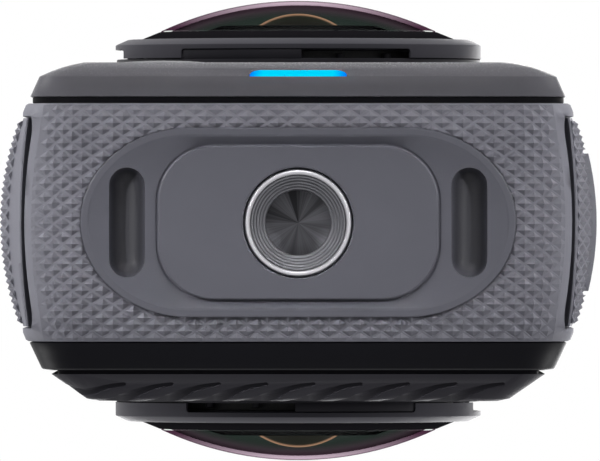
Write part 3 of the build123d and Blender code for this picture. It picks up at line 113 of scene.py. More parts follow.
class Graph:
    """A short way to write the node tree of a material or world."""

    def __init__(self, owner: Union[Material, bpy.types.World]) -> None:
        """Start with an empty tree."""
        self.owner = owner
        owner.use_nodes = True
        self.tree = owner.node_tree
        self.tree.nodes.clear()

    def add(self, kind: str, inputs: Optional[dict] = None, **settings: object) -> Node:
        """Add a node.

        Args:
            kind: The node's type name without its ShaderNode start.
            inputs: Values or sockets by input name or number.
            **settings: Properties of the node.

        Returns:
            The new node.
        """
        node = self.tree.nodes.new("ShaderNode" + kind)
        for key, value in settings.items():
            setattr(node, key, value)
        for key, value in (inputs or {}).items():
            if isinstance(value, Socket):
                self.tree.links.new(value, node.inputs[key])
            else:
                node.inputs[key].default_value = value
        return node

    def math(self, operation: str, first: object, second: object = 0.0) -> Socket:
        """Combine two numbers and return the result's socket."""
        return self.add("Math", {0: first, 1: second}, operation=operation).outputs[0]

    def place(self) -> Socket:
        """The place in object space, in metres."""
        return self.add("TexCoord").outputs["Object"]

    def split(self, vector: Socket) -> bpy.types.NodeOutputs:
        """The three parts of a vector."""
        return self.add("SeparateXYZ", {0: vector}).outputs

    def radius(self, first: Socket, second: Socket) -> Socket:
        """The distance from an axis, from the two distances square to it."""
        squared = self.math("ADD", self.math("POWER", first, 2.0), self.math("POWER", second, 2.0))
        return self.math("SQRT", squared)

    def facing(self, blend: float = 0.5) -> Socket:
        """How far a surface turns away: 0 seen square on, 1 seen edge on."""
        return self.add("LayerWeight", {"Blend": blend}).outputs["Facing"]

    def behind(self) -> Socket:
        """1 on the inner side of a face, 0 on its outer side."""
        return self.add("NewGeometry").outputs["Backfacing"]

    def noise(self, per_mm: float, detail: float = 3.0, rough: float = 0.5) -> Socket:
        """Noise over object space.

        Args:
            per_mm: Grains in a millimetre.
            detail: Octaves.
            rough: Strength of the finer octaves.

        Returns:
            The noise's factor socket.
        """
        scaled = self.add("Mapping", {"Vector": self.place(), "Scale": (1000, 1000, 1000)})
        return self.add("TexNoise", {"Vector": scaled.outputs[0], "Scale": per_mm, "Detail": detail,
                                     "Roughness": rough}).outputs["Fac"]

    def ramp(self, value: Socket, low: float, high: float, first: float = 0.0, last: float = 1.0) -> Socket:
        """Map low..high to first..last, held at both ends, and return the socket."""
        return self.add("MapRange", {"Value": value, "From Min": low, "From Max": high, "To Min": first,
                                     "To Max": last}).outputs[0]

    def spread(self, value: Socket, low: float, high: float) -> Socket:
        """Map a noise factor to a range and return the socket."""
        return self.ramp(value, 0.3, 0.7, low, high)

    def tint(self, factor: object, first: Union[Rgb, Socket], second: Union[Rgb, Socket]) -> Socket:
        """Mix two display colours or colour sockets and return the socket."""
        ends = [colour if isinstance(colour, Socket) else linear(colour) for colour in (first, second)]
        return self.add("Mix", {0: factor, 6: ends[0], 7: ends[1]}, data_type="RGBA").outputs[2]

    def bump(self, height: Socket, depth_mm: float) -> Socket:
        """Bump from a height factor and return the normal socket."""
        return self.add("Bump", {"Height": height, "Strength": 1.0, "Distance": depth_mm * MM}).outputs[0]

    def blend(self, factor: Socket, first: Node, second: Node) -> Node:
        """Mix two shaders."""
        return self.add("MixShader", {0: factor, 1: first.outputs[0], 2: second.outputs[0]})

    def finish(self, shader: Node, output: str = "OutputMaterial") -> Union[Material, bpy.types.World]:
        """Link the shader to the output and return the tree's owner."""
        self.add(output, {"Surface": shader.outputs[0]})
        return self.owner

    def surface(self, inputs: dict) -> Material:
        """Finish with one principled shader and return the material."""
        return self.finish(self.add("BsdfPrincipled", inputs))


@dataclass(frozen=True)
class Moulded:
    """A moulded, painted or rubber surface with fine grain."""

    colour: Rgb
    roughness: float = 0.5
    metallic: float = 0.0
    mottle: float = 0.06
    grain_per_mm: float = 6.0
    grain_depth: float = 0.006
    specular: float = 0.5
    # painted shade: below 1, the share of the colour left where the piece is sunk deepest, reached between
    # the two heights below
    sunk: float = 1.0
    shade_from: float = 0.6
    sunk_to: float = 1.4

    def material(self, name: str) -> Material:
        """Build the material.

        Args:
            name: Its name.

        Returns:
            A material whose colour, roughness and normal vary a little over the piece, with painted shade
            darkening its sunk places where it has them.
        """
        graph = Graph(bpy.data.materials.new(name))
        cloud = graph.noise(0.25, 4.0)
        grain = graph.noise(self.grain_per_mm, 2.0, 0.6)
        base = graph.tint(graph.spread(cloud, 0.0, 1.0), darker(self.colour, 1 - self.mottle),
                          darker(self.colour, 1 + self.mottle))
        # painted shade: the colour darkens with height into the piece, so recesses such as the slot floors
        # read shaded
        if self.sunk < 1.0:
            painted_shade = graph.ramp(graph.split(graph.place())[2], self.shade_from * MM, self.sunk_to * MM)
            base = graph.tint(painted_shade, base, darker(self.colour, self.sunk))
        rough = graph.spread(grain, self.roughness * 0.9, min(1.0, self.roughness * 1.1))
        return graph.surface({
            "Base Color": base, "Roughness": rough, "Metallic": self.metallic,
            "Specular IOR Level": self.specular, "Normal": graph.bump(grain, self.grain_depth)})


@dataclass(frozen=True)
class Turned:
    """Lathe-turned metal with fine rings round a vertical or lens axis."""

    colour: Rgb
    roughness: float
    metallic: float = 1.0
    centre: Rgb = (0.0, 0.0, 0.0)
    along_y: bool = False
    rings_per_mm: float = 7.0
    ring_depth: float = 0.004
    specular: float = 0.5

    def material(self, name: str) -> Material:
        """Build the material.

        Args:
            name: Its name.

        Returns:
            A metal whose bump runs in rings round the axis.
        """
        graph = Graph(bpy.data.materials.new(name))
        moved = graph.add("Mapping", {"Vector": graph.place(), "Location": [-value for value in self.centre],
                                      "Scale": (1000, 1000, 1000)})
        parts = graph.split(moved.outputs[0])
        radius = graph.radius(parts[0], parts[2 if self.along_y else 1])
        rings = graph.add("TexNoise", {"W": graph.math("MULTIPLY", radius, self.rings_per_mm), "Scale": 1.0,
                                       "Detail": 3.0}, noise_dimensions="1D").outputs["Fac"]
        return graph.surface({
            "Base Color": graph.tint(graph.spread(rings, 0.0, 1.0), darker(self.colour, 0.9), self.colour),
            "Roughness": graph.spread(rings, self.roughness * 0.7, self.roughness * 1.3),
            "Metallic": self.metallic, "Specular IOR Level": self.specular,
            "Normal": graph.bump(rings, self.ring_depth)})


@dataclass(frozen=True)
class Brushed:
    """A machined floor whose cutter marks fan out from its middle, with painted highlights and shade on them.
    """

    dark: Rgb
    light: Rgb
    centre: Rgb
    roughness: float = 0.35

    def material(self, name: str) -> Material:
        """Build the material.

        Args:
            name: Its name.

        Returns:
            A metal whose colour changes with the direction from the middle: the marks' tone with painted
            highlights and shade.
        """
        graph = Graph(bpy.data.materials.new(name))
        moved = graph.add("Mapping", {"Vector": graph.place(), "Location": [-value for value in self.centre],
                                      "Scale": (1000, 1000, 0)})
        heading = graph.add("VectorMath", {0: moved.outputs[0]}, operation="NORMALIZE").outputs[0]
        # painted highlights and shade: light and dark fan out from the middle like the highlights of spun
        # metal, with the marks' own tone
        broad, fine = (
            graph.add("TexNoise", {"Vector": heading, "Scale": scale, "Detail": detail}).outputs["Fac"]
            for scale, detail in ((1.3, 1.0), (16.0, 2.0)))
        marks_and_highlights = graph.math("ADD", graph.math("MULTIPLY", broad, 0.75), graph.math("MULTIPLY", fine, 0.25))
        return graph.surface({
            "Base Color": graph.tint(graph.spread(marks_and_highlights, -0.2, 1.2), self.dark, self.light),
            "Roughness": self.roughness, "Metallic": 0.3, "Specular IOR Level": 0.2,
            "Normal": graph.bump(fine, 0.01)})


@dataclass(frozen=True)
class Glass:
    """Clear domed glass whose outline carries a painted reflection of its coating."""

    colour: Rgb
    crown: Rgb
    rim: Rgb
    reach: float
    mirror: Rgb = (235, 238, 240)
    gloss: float = 0.03

    def material(self, name: str) -> Material:
        """Build the material.

        Args:
            name: Its name.

        Returns:
            A clear material tinted at grazing angles with a painted reflection of the coating, darker
            towards the rim, with a faint gloss where it is seen from the front.
        """
        graph = Graph(bpy.data.materials.new(name))
        place = graph.split(graph.place())
        # painted reflection: the coating's colour at grazing angles is painted into the light passing
        # through, lighter at the crown and darker towards the rim
        radius = graph.radius(place[0], graph.math("SUBTRACT", place[2], LENS_Z * MM))
        outwards = graph.ramp(graph.math("DIVIDE", radius, self.reach * MM), 0.25, 0.95)
        facing = graph.facing()
        line = graph.ramp(facing, 0.9, 0.96, 0.0, 0.8)
        outline = graph.tint(line, graph.tint(outwards, self.crown, self.rim), self.rim)
        entering = graph.math("SUBTRACT", 1.0, graph.behind())
        painted_tint = graph.math("MULTIPLY", graph.ramp(facing, 0.76, 0.84), entering)
        through = graph.add("BsdfTransparent", {"Color": graph.tint(painted_tint, self.colour, outline)})
        mirror = graph.add("BsdfPrincipled", {
            "Base Color": linear(self.mirror), "Roughness": graph.spread(graph.noise(0.4, 2.0), 0.01, 0.03),
            "Metallic": 1.0})
        weight = graph.math("MULTIPLY", graph.ramp(facing, 0.4, 0.75, self.gloss, 0.0), entering)
        return graph.finish(graph.blend(weight, through, mirror))


@dataclass(frozen=True)
class ShadeLining:
    """A sheet under the dome's inner face: painted shade with a painted glow, seen from inside the glass's
    hollow.
    """

    colour: Rgb
    rim: Rgb
    glow: float

    def material(self, name: str) -> Material:
        """Build the material.

        Args:
            name: Its name.

        Returns:
            Painted shade with a painted glow on its hollow side, its rim tinted at grazing angles as a
            painted reflection, clear from the other side.
        """
        graph = Graph(bpy.data.materials.new(name))
        haze = graph.spread(graph.noise(0.3, 2.0), -0.05, 0.05)
        edge = graph.ramp(graph.facing(), 0.74, 0.86)
        base = graph.tint(graph.math("ADD", edge, haze), self.colour, self.rim)
        # painted shade and painted glow: a dark sheet that glows a little, with a painted reflection at
        # grazing angles
        dark = graph.add("BsdfPrincipled", {
            "Base Color": base, "Roughness": 0.9, "Specular IOR Level": 0.0, "Emission Color": base,
            "Emission Strength": self.glow})
        return graph.finish(graph.blend(graph.behind(), dark, graph.add("BsdfTransparent")))


@dataclass(frozen=True)
class Coated:
    """Dark coated glass that is closed behind."""

    colour: Rgb
    rim: Rgb
    roughness: float = 0.06
    painted_glint: float = 0.0
    coat: float = 1.0

    def material(self, name: str) -> Material:
        """Build the material.

        Args:
            name: Its name.

        Returns:
            A glossy material whose colour turns to the rim colour at grazing angles, a painted reflection,
            where it may carry a painted glint that glows.
        """
        graph = Graph(bpy.data.materials.new(name))
        facing = graph.facing(0.35)
        cloud = graph.spread(graph.noise(0.5, 2.0), 0.0, 0.08)
        # painted reflection: the colour turns to the rim colour at grazing angles; painted glint: the rim
        # colour glows there
        return graph.surface({
            "Base Color": graph.tint(graph.math("ADD", facing, cloud), self.colour, self.rim),
            "Roughness": self.roughness, "Coat Weight": self.coat, "Coat Roughness": 0.02,
            "Specular IOR Level": self.coat / 2, "Emission Color": linear(self.rim),
            "Emission Strength": graph.ramp(facing, 0.6, 0.8, 0.0, self.painted_glint)})


@dataclass(frozen=True)
class LightBar:
    """The status light: cyan in the middle, bluer at its ends."""

    middle: Rgb
    end: Rgb
    half_width: float
    unlit: Rgb = (0, 10, 16)

    def material(self, name: str) -> Material:
        """Build the material.

        Args:
            name: Its name.

        Returns:
            A material that glows, with its colour set by the place along the bar.
        """
        graph = Graph(bpy.data.materials.new(name))
        across = graph.math("ABSOLUTE", graph.split(graph.place())[0])
        ends = graph.ramp(graph.math("DIVIDE", across, self.half_width * MM), 0.72, 1.0)
        haze = graph.spread(graph.noise(1.5, 2.0), -0.06, 0.06)
        return graph.surface({
            "Base Color": linear(self.unlit), "Roughness": 0.3, "Specular IOR Level": 0.0,
            "Emission Color": graph.tint(graph.math("ADD", ends, haze), self.middle, self.end),
            "Emission Strength": 1.0})


class Finishes:
    """Every finish of the camera, made once and handed out by slot."""

    TABLE = {
        "grip_rubber": Moulded((116, 116, 124), 0.62, mottle=0.015, grain_per_mm=9, specular=0.2),
        "side_piece": Moulded((116, 116, 124), 0.6, mottle=0.015, grain_per_mm=9, specular=0.2),
        "latch_plastic": Moulded((132, 132, 140), 0.55, mottle=0.015, grain_per_mm=9, specular=0.2),
        "front_metal": Moulded((88, 87, 92), 0.26, mottle=0.02, grain_per_mm=8, grain_depth=0.003,
                               specular=0.03),
        # the base plate's sunk=0.62 paints shade into its slot floors
        "base_shell": Moulded((87, 87, 95), 0.45, mottle=0.015, grain_per_mm=8, grain_depth=0.004,
                              specular=0.25, sunk=0.62),
        "rear_shell": Moulded((15, 15, 19), 0.42, mottle=0.03, grain_per_mm=8, grain_depth=0.003,
                              specular=0.06),
        "ribbed_panel": Moulded((52, 51, 56), 0.5, mottle=0.03, grain_per_mm=8, grain_depth=0.002,
                                specular=0.03),
        "inner_frame": Moulded((12, 12, 15), 0.6, specular=0.05),
        "button_plastic": Moulded((58, 58, 63), 0.45, mottle=0.02, grain_per_mm=8, specular=0.3),
        "lens_base_black": Moulded((46, 45, 50), 0.45, grain_per_mm=7, specular=0.1),
        "lens_ring_black": Moulded((82, 81, 87), 0.4, mottle=0.02, grain_per_mm=7, grain_depth=0.003,
                                   specular=0.04),
        "retainer_black": Turned((30, 29, 32), 0.32, 0.0, (0, 0, LENS_Z), along_y=True, specular=0.0),
        "turned_metal": Turned((190, 189, 194), 0.34, centre=(0, THREAD_Y, 0)),
        # thread_steps: a darker, less metallic copy of the turned metal for the steps down the bore, painted
        # shade
        "thread_steps": Turned((118, 118, 123), 0.4, 0.45, (0, THREAD_Y, 0), specular=0.3),
        # thread_floor paints highlights and shade fanning out from the bore's middle
        "thread_floor": Brushed((40, 40, 44), (138, 138, 144), (0, THREAD_Y, 0)),
        "steel": Moulded((150, 150, 150), 0.3, 1.0, grain_depth=0.002),
        "contact_metal": Moulded((205, 175, 105), 0.3, 1.0, grain_depth=0.002),
        "mesh_metal": Moulded((70, 70, 72), 0.5, 0.8, grain_per_mm=5, grain_depth=0.04),
        "seal_rubber": Moulded((28, 28, 30), 0.7),
        "circuit_board": Moulded((22, 66, 44), 0.4),
        "cell_wrap": Moulded((40, 42, 48), 0.45),
        "copper_foil": Moulded((196, 124, 86), 0.35, 1.0, grain_depth=0.002),
        "inner_plastic": Moulded((14, 14, 16), 0.5, specular=0.05),
        "screen_glass": Coated((7, 8, 10), (30, 32, 38), 0.05, coat=0.3),
        "display": Coated((10, 11, 14), (24, 26, 32), 0.2),
        "sensor_glass": Coated((18, 30, 34), (60, 50, 80)),
        # dome_glass paints the coating's reflection into its outline
        "dome_glass": Glass((240, 243, 241), (216, 190, 207), (78, 48, 68), 11.4),
        # dome_shade_lining: a sheet of painted shade under the dome glass, with a painted glow
        "dome_shade_lining": ShadeLining((62, 76, 70), (104, 86, 98), 0.42),
        # element_glass carries a painted glint: its orange rim glows at grazing angles
        "element_glass": Coated((34, 22, 22), (238, 176, 140), 0.03, 1.2),
        "status_light": LightBar((0, 215, 255), (0, 120, 255), 3.72),
    }

    def __init__(self) -> None:
        """Start with no material made."""
        self.made: dict[str, Material] = {}

    def get(self, slot: str) -> Material:
        """The material of a slot, made at its first use."""
        if slot not in self.made:
            self.made[slot] = self.TABLE[slot].material(slot)
        return self.made[slot]

    def dress_nodes(self) -> None:
        """Give every CAD node the finish of its record slot."""
        for part in frame["record"]["subparts"]:
            dress(frame["nodes"][part["node"]], self.get(part["material_slot"]))


def dress(piece: bpy.types.Object, material: Material) -> None:
    """Give a piece one material."""
    piece.data.materials.clear()
    piece.data.materials.append(material)


def bake(name: str, mesh: Mesh) -> bpy.types.Mesh:
    """Turn a mesh in the making into mesh data and free it."""
    data = bpy.data.meshes.new(name)
    mesh.to_mesh(data)
    mesh.free()
    return data


def link(name: str, data: bpy.types.ID) -> bpy.types.Object:
    """Put data into the scene as an object."""
    made = bpy.data.objects.new(name, data)
    bpy.context.scene.collection.objects.link(made)
    return made


def put(name: str, mesh: Mesh, slot: str, body: Body, finishes: Finishes, nodes: Iterable[str] = (),
        smooth: float = 35.0, finish: Optional[str] = None) -> None:
    """Turn a mesh in millimetres into a finished piece in metres.

    Args:
        name: The piece's name.
        mesh: Its shape; it is freed here.
        slot: The record slot that gives the finish.
        body: The body that it rides on.
        finishes: The finishes.
        nodes: CAD nodes that it stands for.
        smooth: Edges that turn more than this many degrees stay sharp.
        finish: A finish that differs from the slot's own.
    """
    bmesh.ops.scale(mesh, vec=(MM, MM, MM), verts=mesh.verts)
    for face in mesh.faces:
        face.smooth = True
    data = bake(name, mesh)
    data.set_sharp_from_angle(angle=math.radians(smooth))
    piece = link(name, data)
    dress(piece, finishes.get(finish or slot))
    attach(piece, body.value)
    if nodes:
        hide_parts(*nodes)
    LOG.info("%s: %d faces", name, len(data.polygons))


def copy_of(node: str) -> Mesh:
    """A clean copy of a CAD node in millimetres.

    Args:
        node: The node's name.

    Returns:
        Its mesh with doubles merged.
    """
    mesh = bmesh.new()
    mesh.from_mesh(frame["nodes"][node].data)
    bmesh.ops.scale(mesh, vec=(1 / MM,) * 3, verts=mesh.verts)
    bmesh.ops.remove_doubles(mesh, verts=mesh.verts, dist=0.002)
    return mesh


def join_flat(mesh: Mesh) -> None:
    """Join faces that lie in one plane."""
    bmesh.ops.dissolve_limit(mesh, angle_limit=math.radians(0.6), verts=mesh.verts, edges=mesh.edges,
                             use_dissolve_boundaries=False)


def round_edges(mesh: Mesh, width: float, least: float = 38.0, segments: int = 2,
                where: Optional[Callable[[Vector], bool]] = None) -> None:
    """Round the sharp edges of a mesh.

    Args:
        mesh: The mesh to bevel.
        width: Width of the rounding in millimetres.
        least: Edges that turn by more degrees than this are rounded.
        segments: Segments of the rounding.
        where: A test on an edge's middle point.
    """
    sharp = [edge for edge in mesh.edges
             if len(edge.link_faces) == 2 and edge.calc_face_angle(0.0) >= math.radians(least)
             and (where is None or where((edge.verts[0].co + edge.verts[1].co) / 2))]
    bmesh.ops.bevel(mesh, geom=sharp, offset=width, offset_type="OFFSET", segments=segments, profile=0.5,
                    affect="EDGES", material=-1, clamp_overlap=True, loop_slide=True)


def everything(mesh: Mesh) -> list:
    """All vertices, edges and faces of a mesh."""
    return mesh.verts[:] + mesh.edges[:] + mesh.faces[:]


def with_corners(faces: list[bmesh.types.BMFace]) -> list:
    """Faces with their edges and vertices, as the operators want them.

    Args:
        faces: The faces.

    Returns:
        The faces, their edges and their vertices, each once.
    """
    items = dict.fromkeys(faces)
    for face in faces:
        items.update(dict.fromkeys(face.edges))
        items.update(dict.fromkeys(face.verts))
    return list(items)


def open_edges(mesh: Mesh) -> list[bmesh.types.BMEdge]:
    """The edges that have a face on one side only."""
    return [edge for edge in mesh.edges if edge.is_boundary]


def grow(mesh: Mesh, edges: list[bmesh.types.BMEdge]) -> tuple[list, list]:
    """Extrude edges and return the new vertices and the new edges."""
    new = bmesh.ops.extrude_edge_only(mesh, edges=edges)["geom"]
    return tuple([item for item in new if isinstance(item, kind)]
                 for kind in (bmesh.types.BMVert, bmesh.types.BMEdge))


def slice_at(mesh: Mesh, y: float, geom: Optional[list] = None) -> None:
    """Cut faces along a plane square to Y, in the whole mesh or in a part of it."""
    bmesh.ops.bisect_plane(mesh, geom=geom or everything(mesh), plane_co=(0, y, 0), plane_no=(0, 1, 0),
                           dist=1e-4)


def islands(mesh: Mesh) -> list[list[bmesh.types.BMFace]]:
    """The groups of joined faces.

    Args:
        mesh: The mesh to look through.

    Returns:
        One list of faces for each group.
    """
    seen: set[bmesh.types.BMFace] = set()
    groups = []
    for first in mesh.faces:
        if first in seen:
            continue
        seen.add(first)
        group = [first]
        for face in group:  # the list grows while it is walked
            for other in (other for edge in face.edges for other in edge.link_faces):
                if other not in seen:
                    seen.add(other)
                    group.append(other)
        groups.append(group)
    return groups


def cut_away(base: Mesh, tool: Mesh) -> Mesh:
    """Cut one closed mesh out of another; both are freed here.

    Args:
        base: The mesh that is kept.
        tool: The mesh that cuts it.

    Returns:
        What is left of the base.
    """
    pieces = []
    for mesh in (base, tool):
        bmesh.ops.recalc_face_normals(mesh, faces=mesh.faces)
        pieces.append(link("shape", bake("shape", mesh)))
    modifier = pieces[0].modifiers.new("cut", "BOOLEAN")
    modifier.operation, modifier.solver, modifier.object = "DIFFERENCE", "EXACT", pieces[1]
    bpy.context.view_layer.update()
    result = bmesh.new()
    result.from_object(pieces[0], bpy.context.evaluated_depsgraph_get())
    for piece in pieces:
        data = piece.data
        bpy.data.objects.remove(piece)
        bpy.data.meshes.remove(data)
    return result


def join(parts: list[Mesh]) -> Mesh:
    """Put several meshes into one and free them.

    Args:
        parts: The meshes.

    Returns:
        The joined mesh.
    """
    whole = bmesh.new()
    for part in parts:
        data = bake("part", part)
        whole.from_mesh(data)
        bpy.data.meshes.remove(data)
    return whole


def spin_profile(points: Points, centre: Vector, axis: Vector, steps: int = 96, start: float = 0.0,
                 sweep: float = 360.0, closed: bool = True) -> Mesh:
    """Turn a profile about an axis.

    Args:
        points: Radius and height of each profile point; the height runs along the axis.
        centre: A point of the axis.
        axis: The axis's direction.
        steps: Segments of the turn.
        start: Where the turn starts, in degrees from straight down or from +X.
        sweep: How far it goes.
        closed: Whether the profile is a closed loop.

    Returns:
        The turned mesh, its open ends filled when the turn is not a full one.
    """
    mesh = bmesh.new()
    first = Vector((0, 0, -1)) if abs(axis.y) > 0.5 else Vector((1, 0, 0))
    verts = [mesh.verts.new(centre + first * radius + axis * height) for radius, height in points]
    for pair in zip(verts, verts[1:] + verts[:1] * closed):
        mesh.edges.new(pair)
    bmesh.ops.rotate(mesh, verts=mesh.verts, cent=centre,
                     matrix=Matrix.Rotation(math.radians(start), 3, axis))
    bmesh.ops.spin(mesh, geom=mesh.verts[:] + mesh.edges[:], cent=centre, axis=axis, steps=steps,
                   angle=math.radians(sweep), use_merge=abs(sweep - 360) < 1e-6)
    bmesh.ops.remove_doubles(mesh, verts=mesh.verts, dist=1e-4)
    rims = open_edges(mesh)
    if rims and closed:
        bmesh.ops.holes_fill(mesh, edges=rims, sides=0)
    bmesh.ops.recalc_face_normals(mesh, faces=mesh.faces)
    return mesh


@dataclass(frozen=True)
class Rounded:
    """A rectangle with elliptical corners, given by its straight and its round half-lengths."""

    half_x: float
    half_y: float
    end_x: float
    end_y: float
    centre: tuple[float, float]

    def grown(self, by: float) -> "Rounded":
        """The outline moved outwards."""
        return replace(self, end_x=self.end_x + by, end_y=self.end_y + by)

    def at(self, turn: float, z: float) -> Vector:
        """The outline's point in a direction from its centre.

        Args:
            turn: The direction's angle in radians.
            z: Height of the point.

        Returns:
            The point.
        """
        across, up = abs(math.cos(turn)), abs(math.sin(turn))
        if across * (self.half_y + self.end_y) <= self.half_x * up:
            reach = (self.half_y + self.end_y) / up
        elif up * (self.half_x + self.end_x) <= self.half_y * across:
            reach = (self.half_x + self.end_x) / across
        else:
            a = (across / self.end_x) ** 2 + (up / self.end_y) ** 2
            b = -2 * (across * self.half_x / self.end_x ** 2 + up * self.half_y / self.end_y ** 2)
            c = (self.half_x / self.end_x) ** 2 + (self.half_y / self.end_y) ** 2 - 1
            reach = (math.sqrt(b * b - 4 * a * c) - b) / (2 * a)
        return Vector((self.centre[0] + reach * math.cos(turn), self.centre[1] + reach * math.sin(turn), z))


class Loft:
    """A skin that grows ring by ring from a circle, each ring moved onto its outline."""

    def __init__(self, segments: int, first: Rounded, z: float) -> None:
        """Start with the first ring.

        Args:
            segments: Points of each ring.
            first: The first ring's outline.
            z: Its height.
        """
        self.mesh = bmesh.new()
        self.turn = self.mesh.verts.layers.float.new("turn")
        circle = bmesh.ops.create_circle(self.mesh, segments=segments, radius=1.0)
        for vert in circle["verts"]:
            vert[self.turn] = math.atan2(vert.co.y, vert.co.x)
            vert.co = first.at(vert[self.turn], z)
        self.edges = self.mesh.edges[:]

    def ring(self, outline: Rounded, z: float) -> None:
        """Extrude the last ring onto the next outline.

        Args:
            outline: The next outline.
            z: Its height.
        """
        verts = set(grow(self.mesh, self.edges)[0])
        for vert in verts:
            vert.co = outline.at(vert[self.turn], z)
        self.edges = [edge for edge in self.mesh.edges if set(edge.verts) <= verts]

    def close(self) -> Mesh:
        """Join the last ring to the first where they meet and fill what is left open.

        Returns:
            The closed mesh.
        """
        bmesh.ops.remove_doubles(self.mesh, verts=self.mesh.verts, dist=1e-4)
        rims = open_edges(self.mesh)
        if rims:
            bmesh.ops.holes_fill(self.mesh, edges=rims, sides=0)
        bmesh.ops.recalc_face_normals(self.mesh, faces=self.mesh.faces)
        return self.mesh


@dataclass
class BaseInlay:
    """The oval base plate: a flush lip, a slope down to the raised pad, two slots, the thread hole."""

    oval: Rounded = Rounded(8.34, 0.0, 8.4, 7.3, (0.0, BAND_Y))
    pad: Rounded = Rounded(6.45, 1.6, 4.3, 4.3, (0.0, BAND_Y))
    bore: Rounded = Rounded(0.0, 0.0, 4.22, 4.22, (0.0, THREAD_Y))
    top: float = 2.3
    lip: float = 0.67
    depth: float = 0.5
    gap: float = 0.1
    gap_depth: float = 0.05
    edge: float = 0.12
    slot_x: float = 13.13
    slot_half: float = 2.84
    slot_radius: float = 1.375
    slot_wall: float = 0.45
    slot_edge: float = 0.06
    segments: int = 192

    def stations(self) -> list[tuple[Rounded, float]]:
        """The outlines and heights from the plate's inner side, over its face, to the bore.

        Returns:
            Each outline with its height.
        """
        small = self.edge * 0.3
        floor = self.depth + self.gap_depth
        return [
            (self.oval, self.edge), (self.oval.grown(-small), small), (self.oval.grown(-self.edge), 0.0),
            (self.oval.grown(-self.lip + self.edge), 0.0), (self.oval.grown(-self.lip - small), small),
            (self.pad.grown(2 * self.gap), self.depth - small),
            (self.pad.grown(self.gap), self.depth + small),
            (self.pad.grown(self.gap), floor), (self.pad, floor), (self.pad, self.edge),
            (self.pad.grown(-small), small), (self.pad.grown(-self.edge), 0.0),
            (self.bore.grown(self.edge), 0.0), (self.bore.grown(small), small), (self.bore, self.edge),
            (self.bore, self.top), (self.oval, self.top)]

    def slot(self, flank: Flank) -> Mesh:
        """A cutter with straight walls and a round floor.

        Args:
            flank: The slot's side of the plate.

        Returns:
            The closed cutter.
        """
        line = Rounded(0.0, self.slot_half, self.slot_radius, self.slot_radius,
                       (flank.value * self.slot_x, BAND_Y))
        skin = Loft(96, line, -1.0)
        skin.ring(line, self.slot_wall)
        for step in range(1, 15):
            angle = math.radians(6 * step)
            skin.ring(line.grown(self.slot_radius * (math.cos(angle) - 1)),
                      self.slot_wall + self.slot_radius * math.sin(angle))
        return skin.close()

    def at_mouth(self, point: Vector) -> bool:
        """Whether a point lies on a slot's rim."""
        return (abs(abs(point.x) - self.slot_x) < self.slot_radius + 0.05 and point.z < self.depth
                and abs(point.y - BAND_Y) < self.slot_half + self.slot_radius + 0.05)

    def build(self, finishes: Finishes) -> None:
        """Make the plate and cut its slots.

        Args:
            finishes: The finishes.
        """
        skin = Loft(self.segments, self.oval, self.top)
        for outline, height in self.stations():
            skin.ring(outline, height)
        plate = skin.close()
        for flank in Flank:
            plate = cut_away(plate, self.slot(flank))
        round_edges(plate, self.slot_edge, 40.0, 3, self.at_mouth)
        put("base_plate", plate, "base_shell", Body.CAMERA, finishes, ["base_inlay"], 8.0)


@dataclass
class ThreadInsert:
    """The turned tripod socket: a convex rim, a stepped taper and a machined floor."""

    centre: Vector = field(default_factory=lambda: Vector((0, THREAD_Y, 0)))
    head: float = 4.17
    head_height: float = 1.2
    shank: float = 3.9
    rim_inner: float = 3.62
    rim_drop: float = 0.4
    bore: float = 2.5
    steps: int = 5
    first_step: float = 0.14
    ledge_share: float = 0.6
    taper_depth: float = 1.4
    floor_z: float = 6.0
    length: float = 7.0

    def rim(self) -> Points:
        """The convex rim's profile.

        Returns:
            Its points from the outer foot to the inner edge.
        """
        middle, half = (self.head + self.rim_inner) / 2, (self.head - self.rim_inner) / 2
        angles = [math.radians(170 * step / 8 - 5) for step in range(9)]
        return [(middle + half * math.cos(angle), self.rim_drop * (1 - math.sin(max(angle, 0))))
                for angle in angles]

    def taper(self) -> Points:
        """The stepped taper's profile.

        Returns:
            Its points from the rim down to the bore.
        """
        run, fall = (self.rim_inner - self.bore) / self.steps, self.taper_depth / self.steps
        points = []
        for step in range(self.steps):
            radius, z = self.rim_inner - run * step, self.first_step + fall * step
            points += [(radius, z + 0.02), (radius - 0.03, z + 0.05),
                       (radius - run * self.ledge_share, z + fall * (1 - self.ledge_share)),
                       (radius - run, z + fall)]
        return points

    def build(self, finishes: Finishes) -> None:
        """Make the socket, its steps and its floor.

        Args:
            finishes: The finishes.
        """
        up = Vector((0, 0, 1))
        body = [(self.shank, self.length), (self.shank, self.head_height), (self.head, self.head_height),
                (self.head, self.rim_drop), *self.rim()[1:], (self.rim_inner, self.rim_drop + 0.02),
                (self.rim_inner, self.length)]
        put("thread_socket", spin_profile(body, self.centre, up), "turned_metal", Body.CAMERA, finishes,
            ["thread_insert"], 24.0)
        bore = [(self.bore, self.floor_z), (self.bore, self.length), (self.rim_inner, self.length)]
        # the steps get a darker copy of the turned metal: painted shade in the bore
        put("thread_steps", spin_profile(self.taper() + bore, self.centre, up), "turned_metal", Body.CAMERA,
            finishes, smooth=24.0, finish="thread_steps")
        floor = spin_profile([(0, self.floor_z - 0.02), (self.bore, self.floor_z - 0.02)], self.centre, up,
                             closed=False)
        bmesh.ops.reverse_faces(floor, faces=[face for face in floor.faces if face.normal.z > 0])
        # the floor's finish paints highlights and shade that fan out from its middle
        put("thread_floor", floor, "turned_metal", Body.CAMERA, finishes, finish="thread_floor")


